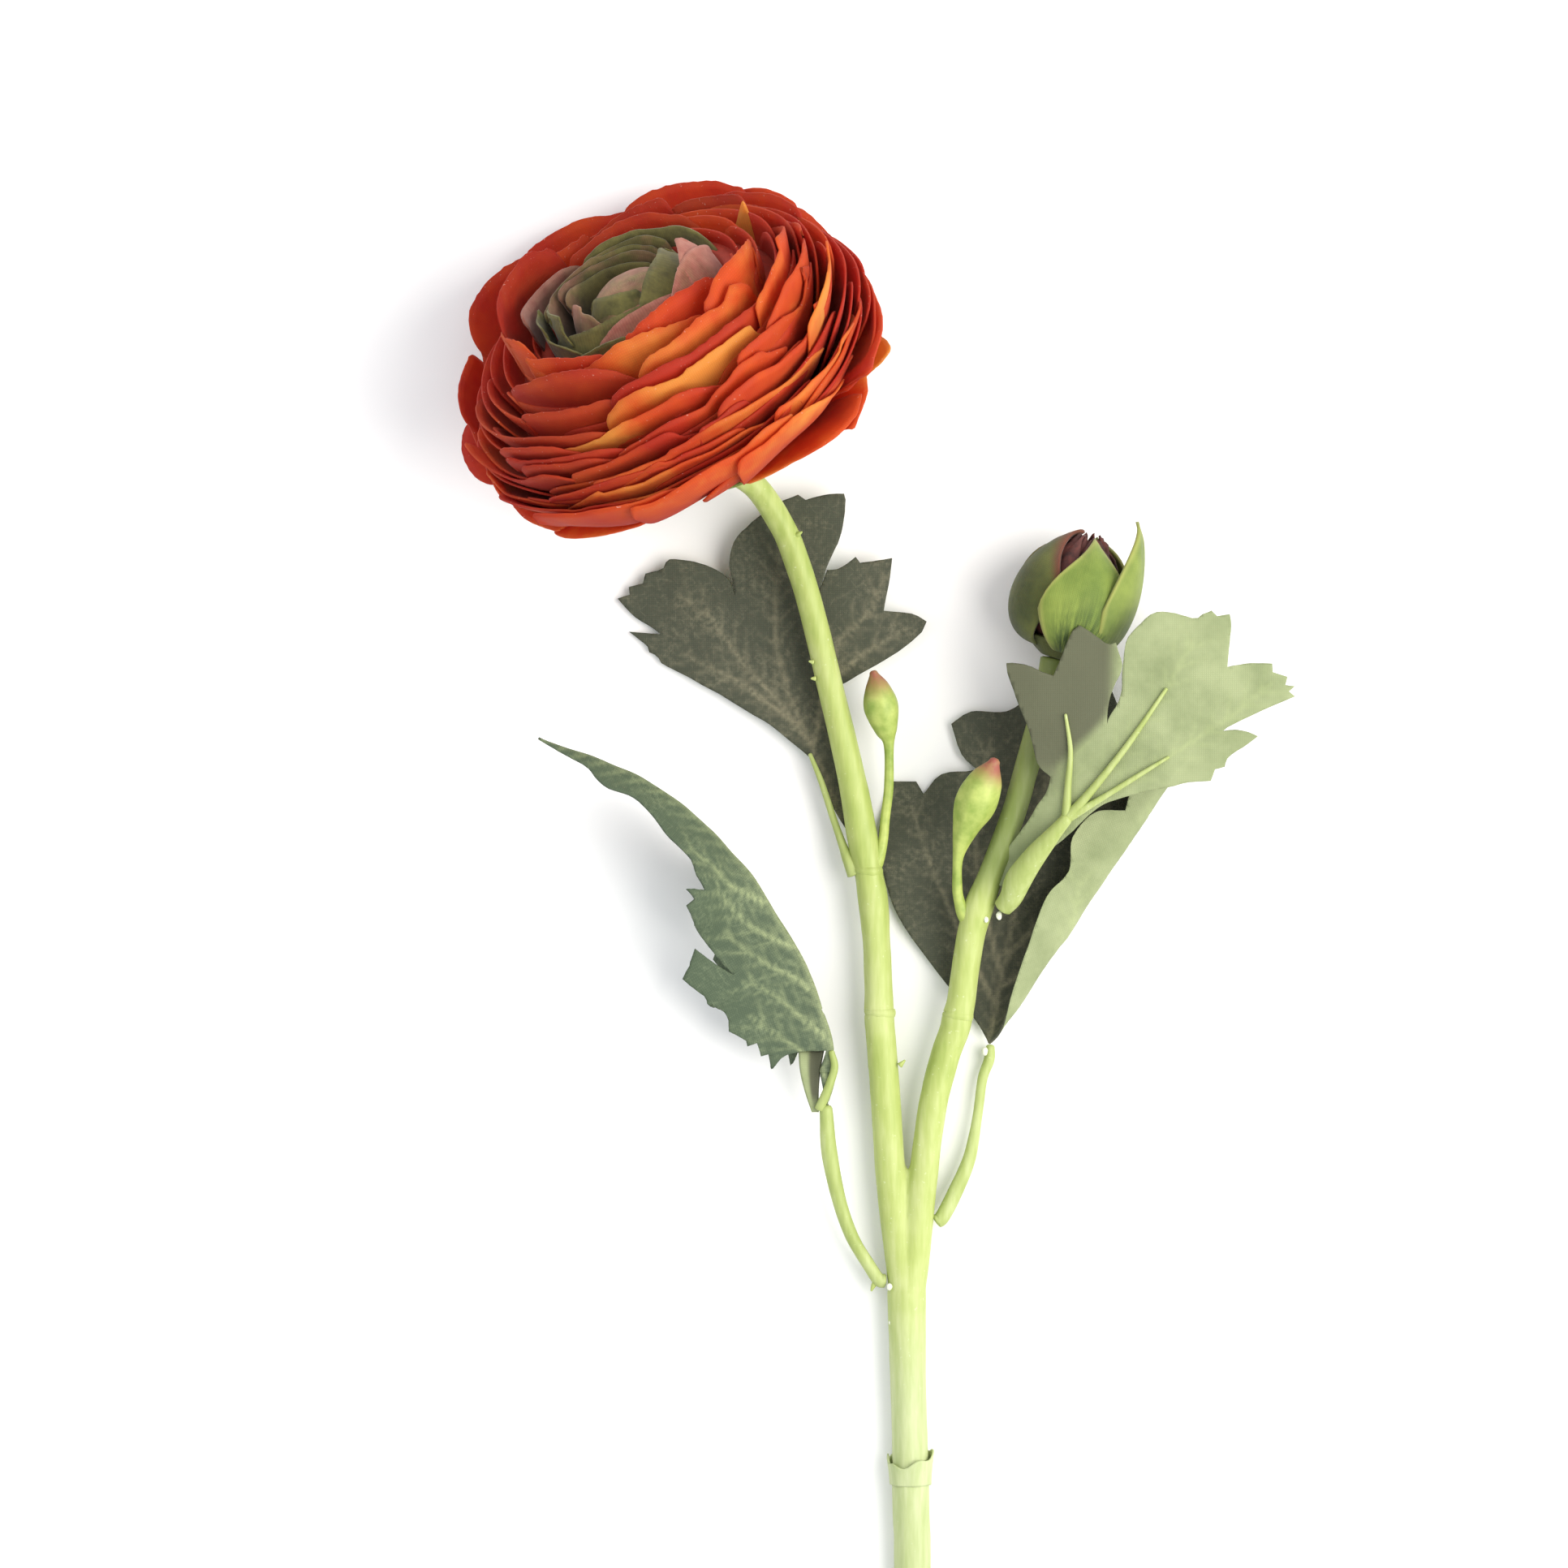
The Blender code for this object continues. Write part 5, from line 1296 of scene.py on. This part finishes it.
leafRolled = {
    "place": (26.0, 42.0),
    "stalk": (
        (12.0, -26.6, 4.3, 1.4), (13.2, -25.6, 4.2, 1.5), (16.1, -20.0, 3.6, 1.5), (18.6, -13.9, 3.2, 1.3),
        (20.1, -6.2, 2.8, 1.0), (21.2, 1.6, 2.5, 1.0), (22.5, 5.4, 2.3, 1.1), (22.75, 8.0, 2.2, 0.9),
    ),
    "margin": (
        (-3.2, -33.5), (-7, -27.5), (-15, -17.5), (-22.5, -6), (-25.5, 8), (-22.5, 19), (-18, 19), (-16.5, 16.5),
        (-13, 20.5), (-8, 21), (-6, 21.5), (-9, 24.5), (-11, 30.5), (-7, 33), (0, 33), (5, 36.5), (8, 40.5),
        (15, 42.5), (20, 39), (23, 32), (18, 26), (30, 24), (38, 17), (40, 10), (34, 6), (36, 0), (33, -6),
        (27, -9), (24, -15), (16, -22), (6, -30),
    ),
    "veins": (
        ((-3.2, -33), (-1, -20), (2, -6), (6, 12), (12, 34)),
        ((-2, -26), (-9, -12), (-15, 2), (-19, 14)),
        ((-1, -20), (-5, -4), (-7, 12), (-3, 28)),
        ((0, -16), (10, -6), (22, 6), (32, 12)),
        ((-1, -22), (12, -14), (24, -8)),
    ),
    "rollFrom": (-0.3, -23.4),
    "rollTo": (27.0, 16.8),
    "rollRadius": 3.4,
    "rollMost": 165.0,
}
leafLeft = {
    "stalk": (
        (1.7, -38.4, 4.6, 1.35), (0.4, -38.1, 4.7, 1.35), (-1.8, -34.8, 4.9, 1.3), (-5.0, -29.3, 5.4, 1.3),
        (-7.5, -22.1, 6.0, 1.4), (-9.4, -12.7, 7.0, 1.6), (-10.1, -3.9, 8.7, 1.3),
    ),
    "midrib": (
        (-9.7, -3.2, 9.2), (-8.1, 2.8, 9.6), (-8.7, 9.2, 10.2), (-11.2, 17.3, 11.0), (-14.2, 25.4, 12.0),
        (-19.2, 33.6, 13.2), (-23.8, 41.5, 14.4), (-30.9, 49.5, 15.8), (-41.7, 58.8, 17.4), (-53.6, 64.8, 19.0),
        (-67.0, 69.7, 21.0),
    ),
    "halfMargin": (
        (3, 2), (7, 3.2), (11.5, 1.6), (12.5, 7), (12, 10.5), (8.5, 13), (14, 13), (14, 14.5), (17.5, 14.5),
        (17.5, 16.5), (19, 16.5), (21.5, 19), (25, 18.5), (33, 21), (34.5, 20.5), (39.5, 22.5), (40.5, 20),
        (42.5, 17.5), (35.5, 13.5), (42, 15), (50, 17), (54.5, 18), (54.5, 15.5), (57.5, 16), (54.5, 12),
        (58, 11.5), (61, 9.5), (65, 9), (69, 8.5), (79, 5.5), (84.5, 6), (87.5, 5), (90.5, 3), (96, 1.6),
    ),
    "sideVeins": 5,
    "veinSpacing": 10,
    "farShare": 0.8,
    "nearRise": (4.0, 45.0),
    "farDrop": (-30.0, -80.0),
    "turn": (38, 58),
}
leafFinish = {"wall": 0.5, "cell": 0.85, "veinWidth": 0.34, "sideVein": 4.2, "buckle": 0.35}


def smoothMargin(points, spacing=1.0, sharp=48):  # rounds the margin between its sharp teeth and notches
    loop = [Vector(p) for p in points]
    count = len(loop)
    corners = []
    for k, here in enumerate(loop):
        before, after = here - loop[k - 1], loop[(k + 1) % count] - here
        if abs(math.degrees(before.angle_signed(after, 0))) > sharp:
            corners.append(k)
    found = []
    for a, b in zip(corners, corners[1:] + [corners[0] + count]):
        run = [loop[k % count] for k in range(a, b + 1)]
        route = smoothRoute([(*p, 0) for p in run], 6)
        spent = 0
        found.append(route[0].xy)
        for start, end in zip(route, route[1:]):
            spent += (end - start).length
            if spent > spacing and (end - route[-1]).length > spacing * 0.5:
                jitter = 0.09 * grain(end.x * 3, end.y * 3, 5.0, 1.0)
                found.append(end.xy + Vector((jitter, -jitter)))
                spent = 0
    return found


def readFlat(leaf):  # the margin, read in the enlarged photograph, at the leaf's own place and height
    left, foot = leaf["place"]
    eyeX, eyeY, eyeZ = stage["cameraAt"]
    size = photoPixel * (eyeZ - leaf["height"])
    spots = (fromMiddle(leaf, x, y) for x, y in leaf["margin"])
    return [(eyeX + right * size - left, eyeY + above * size - foot) for right, above in spots]


def sideVeins(veins, spacing):  # short veins that leave each main one on both sides
    found = []
    for vein in veins:
        spots = [Vector(p) for p in vein]
        walked = spacing * 0.7
        for start, end in zip(spots, spots[1:]):
            length = (end - start).length
            along = (end - start) / length
            while walked < length:
                spot = start + along * walked
                for sign in (-1, 1):
                    way = Matrix.Rotation(sign * math.radians(40), 2) @ along
                    found.append((spot, spot + way * spacing * 1.9))
                walked += spacing
            walked -= length
    return found


def veinAt(spot, mains, sides, width):
    def near(start, end):
        line = end - start
        t = min(1, max(0, (spot - start).dot(line) / line.length_squared))
        return (spot - start - line * t).length, t

    best = 0
    for vein in mains:
        for k, (start, end) in enumerate(zip(vein, vein[1:])):
            gap, t = near(start, end)
            taper = 1 - 0.6 * (k + t) / (len(vein) - 1)
            best = max(best, taper * math.exp(-((gap / (width * (0.6 + taper))) ** 2)))
    for start, end in sides:
        gap, t = near(start, end)
        best = max(best, 0.45 * (1 - t) * math.exp(-((gap / width) ** 2)))
    return best


def addBlade(name, node, margin, veins, bend, faces, extra=None):
    bm = newMesh("vein", "pale", "paintedShade")
    outline = bm.faces.new([bm.verts.new((*p, 0)) for p in margin])
    outline.normal_update()
    if outline.normal.z < 0:
        outline.normal_flip()
    bmesh.ops.triangulate(bm, faces=bm.faces)
    lows = [min(p[i] for p in margin) for i in (0, 1)]
    highs = [max(p[i] for p in margin) for i in (0, 1)]
    cell = leafFinish["cell"]
    for i, way in enumerate(((1, 0, 0), (0, 1, 0))):
        for k in range(1, int((highs[i] - lows[i]) / cell)):
            spot = [0, 0, 0]
            spot[i] = lows[i] + k * cell
            bmesh.ops.bisect_plane(
                bm, geom=bm.verts[:] + bm.edges[:] + bm.faces[:], dist=0.12, plane_co=spot, plane_no=way
            )
    uv = bm.loops.layers.uv.active
    for face in bm.faces:
        for loop in face.loops:
            loop[uv].uv = (loop.vert.co.x / 100, loop.vert.co.y / 100)
    mains = [[Vector(p) for p in vein] for vein in veins]
    sides = sideVeins(veins, leafFinish["sideVein"])
    vein, pale, paintedShade = (bm.verts.layers.float[key] for key in ("vein", "pale", "paintedShade"))
    for vert in bm.verts:
        flat = vert.co.xy
        vert[vein] = veinAt(flat, mains, sides, leafFinish["veinWidth"])
        if extra:
            vert[pale], vert[paintedShade] = extra(*flat)
        buckle = leafFinish["buckle"] * grain(*flat, 3.0, 7.0) - 0.16 * vert[vein]
        spot = Vector(bend(*flat))
        near = Vector(bend(flat.x + 0.01, flat.y)) - spot
        other = Vector(bend(flat.x, flat.y + 0.01)) - spot
        vert.co = (spot + near.cross(other).normalized() * buckle) * mm
    return finishPiece(name, bm, faces, node, leafFinish["wall"], sides=True)


def bendUpper(x, y):
    left, foot = leafUpper["place"]
    return left + x, foot + y, 3.1 + 0.09 * max(y, 0) - 0.0026 * x * x


def bendFront(x, y):
    left, foot = leafFront["place"]
    run = max(0, 0.7 * (x + 15) + 0.72 * (y + 18))
    return left + x, foot + y, 10 + 15 * (1 - math.exp(-run / 19)) + 0.06 * max(0, y)


rollStart = Vector(leafRolled["rollFrom"])
rollAlong = (Vector(leafRolled["rollTo"]) - rollStart).normalized()
rollOut = Vector((rollAlong.y, -rollAlong.x))


def bendBack(x, y):
    past = (Vector((x, y)) - rollStart).dot(rollOut)
    left, foot = leafRolled["place"]
    height = 1.6 + 0.5 * math.sin(0.16 * x + 0.11 * y)
    if past <= 0:
        return left + x, foot + y, height
    radius = leafRolled["rollRadius"]
    angle = min(past / radius, math.radians(leafRolled["rollMost"]))
    beyond = past - angle * radius
    shift = radius * math.sin(angle) + beyond * math.cos(angle) - past
    rise = radius * (1 - math.cos(angle)) + beyond * math.sin(angle)
    return left + x + rollOut.x * shift, foot + y + rollOut.y * shift, height + rise


leftRoute = smoothRoute(leafLeft["midrib"], 8)
leftSteps = [(b - a).length for a, b in zip(leftRoute, leftRoute[1:])]
leftLength = sum(leftSteps)


def bendLeft(distance, out):
    leftOver = min(max(distance, 0), leftLength - 1e-6)
    step = 0
    while leftOver > leftSteps[step]:
        leftOver -= leftSteps[step]
        step += 1
    start, end = leftRoute[step], leftRoute[step + 1]
    share = leftOver / leftSteps[step]
    spot = start.lerp(end, share)
    after = leftRoute[min(step + 2, len(leftRoute) - 1)]
    along = (end - start).lerp(after - end, share * 0.5).normalized()
    side = up.cross(along).normalized()
    turned = ease(distance, *leafLeft["turn"])
    angle = math.radians(blend(*leafLeft["nearRise" if out >= 0 else "farDrop"], turned))
    reach = abs(out)
    return spot + side * math.cos(angle) * reach + up * math.sin(angle) * reach


def shadedLobe(x, y):  # the left lobe stands in the shade of its fold
    line = blend(-6, 4.5, ease(y, -1, 14))
    return 0, 0.95 * (1 - ease(x, line - 2, line + 1.5)) * ease(y, -7, 3)


def makeLeaves():
    addBlade("leafUpperBlade", "leaf_upper_blade", smoothMargin(readFlat(leafUpper)), leafUpper["veins"], bendUpper,
             [leafFace, leafBack])
    addBlade("leafBackBlade", "leaf_back_blade", smoothMargin(leafRolled["margin"]), leafRolled["veins"], bendBack,
             [leafFace, leafBack])
    addBlade("leafFrontBlade", "leaf_front_blade", smoothMargin(readFlat(leafFront)), leafFront["veins"], bendFront,
             [leafBack, leafFace], shadedLobe)
    near = leafLeft["halfMargin"]
    far = [(along, -leafLeft["farShare"] * out) for along, out in reversed(near)]
    leftVeins = [((0, 0.3), (leftLength * 0.5, 0.3), (leftLength, 0.2)), ((0, -0.3), (leftLength, -0.2))]
    for k in range(leafLeft["sideVeins"]):
        foot = 4 + leafLeft["veinSpacing"] * k
        leftVeins += [((foot, s), (foot + 8, s * 6), (foot + 19, s * (14 - 1.5 * k))) for s in (1, -1)]
    margin = smoothMargin([(0, 0), *near, (leftLength - 0.5, 0), *far])
    addBlade("leafLeftBlade", "leaf_left_blade", margin, leftVeins, bendLeft, [foldFace, foldFace])
    for name, leaf in (("Upper", leafUpper), ("Left", leafLeft), ("Back", leafRolled), ("Front", leafFront)):
        bm = newMesh()
        addStem(bm, leaf["stalk"], 20, 8, 0.2, 0.6, 0.04)
        for rib in leaf.get("ribs", ()):
            points = []
            for x, y, lift, radius in rib:
                spot = Vector(bendFront(x, y))
                points.append((spot.x, spot.y, spot.z + lift, radius))
            addStem(bm, points, 12, 8, 0.2, 0.8, 0.02)
        finishPiece(f"leaf{name}Stalk", bm, [paleGreen], f"leaf_{name.lower()}_stalk")


leafSheath = {
    # the open foot of the left leaf: spots up its middle, with half its width, and the rib at its right
    "channel": ((-12.2, -4.6, 8.6, 0.7), (-12.9, -0.4, 8.8, 1.3), (-13.2, 3.6, 9.0, 1.9), (-13.0, 7.6, 9.2, 2.4)),
    "rib": ((-11.4, -4.0, 9.0, 1.0), (-9.6, 0.4, 9.8, 0.85), (-8.4, 4.4, 10.2, 0.75), (-9.0, 7.4, 10.2, 0.6)),
    "depth": 1.1,
    "wall": 0.5,
}


def makeLeafSheath():
    route = smoothRoute(leafSheath["channel"], 6)

    def shape(u, v):
        spot = route[round(v * (len(route) - 1))]
        return spot.x + u * spot[3], spot.y, spot.z - leafSheath["depth"] * (1 - u * u) * v

    bm = newMesh("vein", "paintedShade")
    # painted shade down one side of the sheath, where it lies in shadow
    paintedShade = {"paintedShade": lambda u, v: ease(u, -0.5, 0.1) * ease(v, 0.05, 0.3)}
    addSheet(bm, 16, len(route) - 1, shape, (4, 12), paintedShade)
    finishPiece("leafLeftSheath", bm, [leafBack], None, leafSheath["wall"])
    bm = newMesh()
    addStem(bm, leafSheath["rib"], 14, 8, 0.2, 0.6, 0.03)
    finishPiece("leafLeftRib", bm, [paleGreen], None)


makeLeaves()
makeLeafSheath()
print("leaves made")


# floor, light and camera

def makeStage():
    bm = newMesh()
    bmesh.ops.create_grid(bm, x_segments=1, y_segments=1, size=stage["floor"] / 2 * mm, calc_uvs=True)
    paper, shader = startMaterial("floorPaper", Roughness=0.9)
    low, high = ((grey, grey, grey, 1) for grey in stage["paper"])
    wire(paper, ramp(paper, cloud(paper, place(paper), 0.2, 2), (0.0, low), (1.0, high)), shader, "Base Color")
    meshObject("floor", bm, [paper])

    world = bpy.data.worlds.new("room")
    world.use_nodes = True
    back = world.node_tree.nodes["Background"]
    back.inputs["Color"].default_value = stage["roomColour"]
    back.inputs["Strength"].default_value = stage["room"]
    bpy.context.scene.world = world
    for name, looks in stage["lamps"].items():
        lamp = bpy.data.lights.new(name, "AREA")
        lamp.shape = "DISK"
        lamp.size = looks["size"] * mm
        lamp.energy = looks["power"]
        lamp.color = looks["colour"]
        holder = intoScene(name, lamp)
        holder.location = Vector(looks["from"]) * mm
        aim = Vector(stage["aim"]) * mm - holder.location
        holder.rotation_euler = aim.to_track_quat("-Z", "Y").to_euler()

    lens = bpy.data.cameras.new("photoCamera")
    lens.lens = stage["lens"]
    lens.sensor_width = stage["sensor"]
    lens.clip_start = 0.01
    lens.clip_end = 20
    holder = intoScene("photoCamera", lens)
    holder.location = Vector(stage["cameraAt"]) * mm
    bpy.context.scene.camera = holder
    bpy.context.scene.view_settings.view_transform = "Standard"


makeStage()
print("stage made")
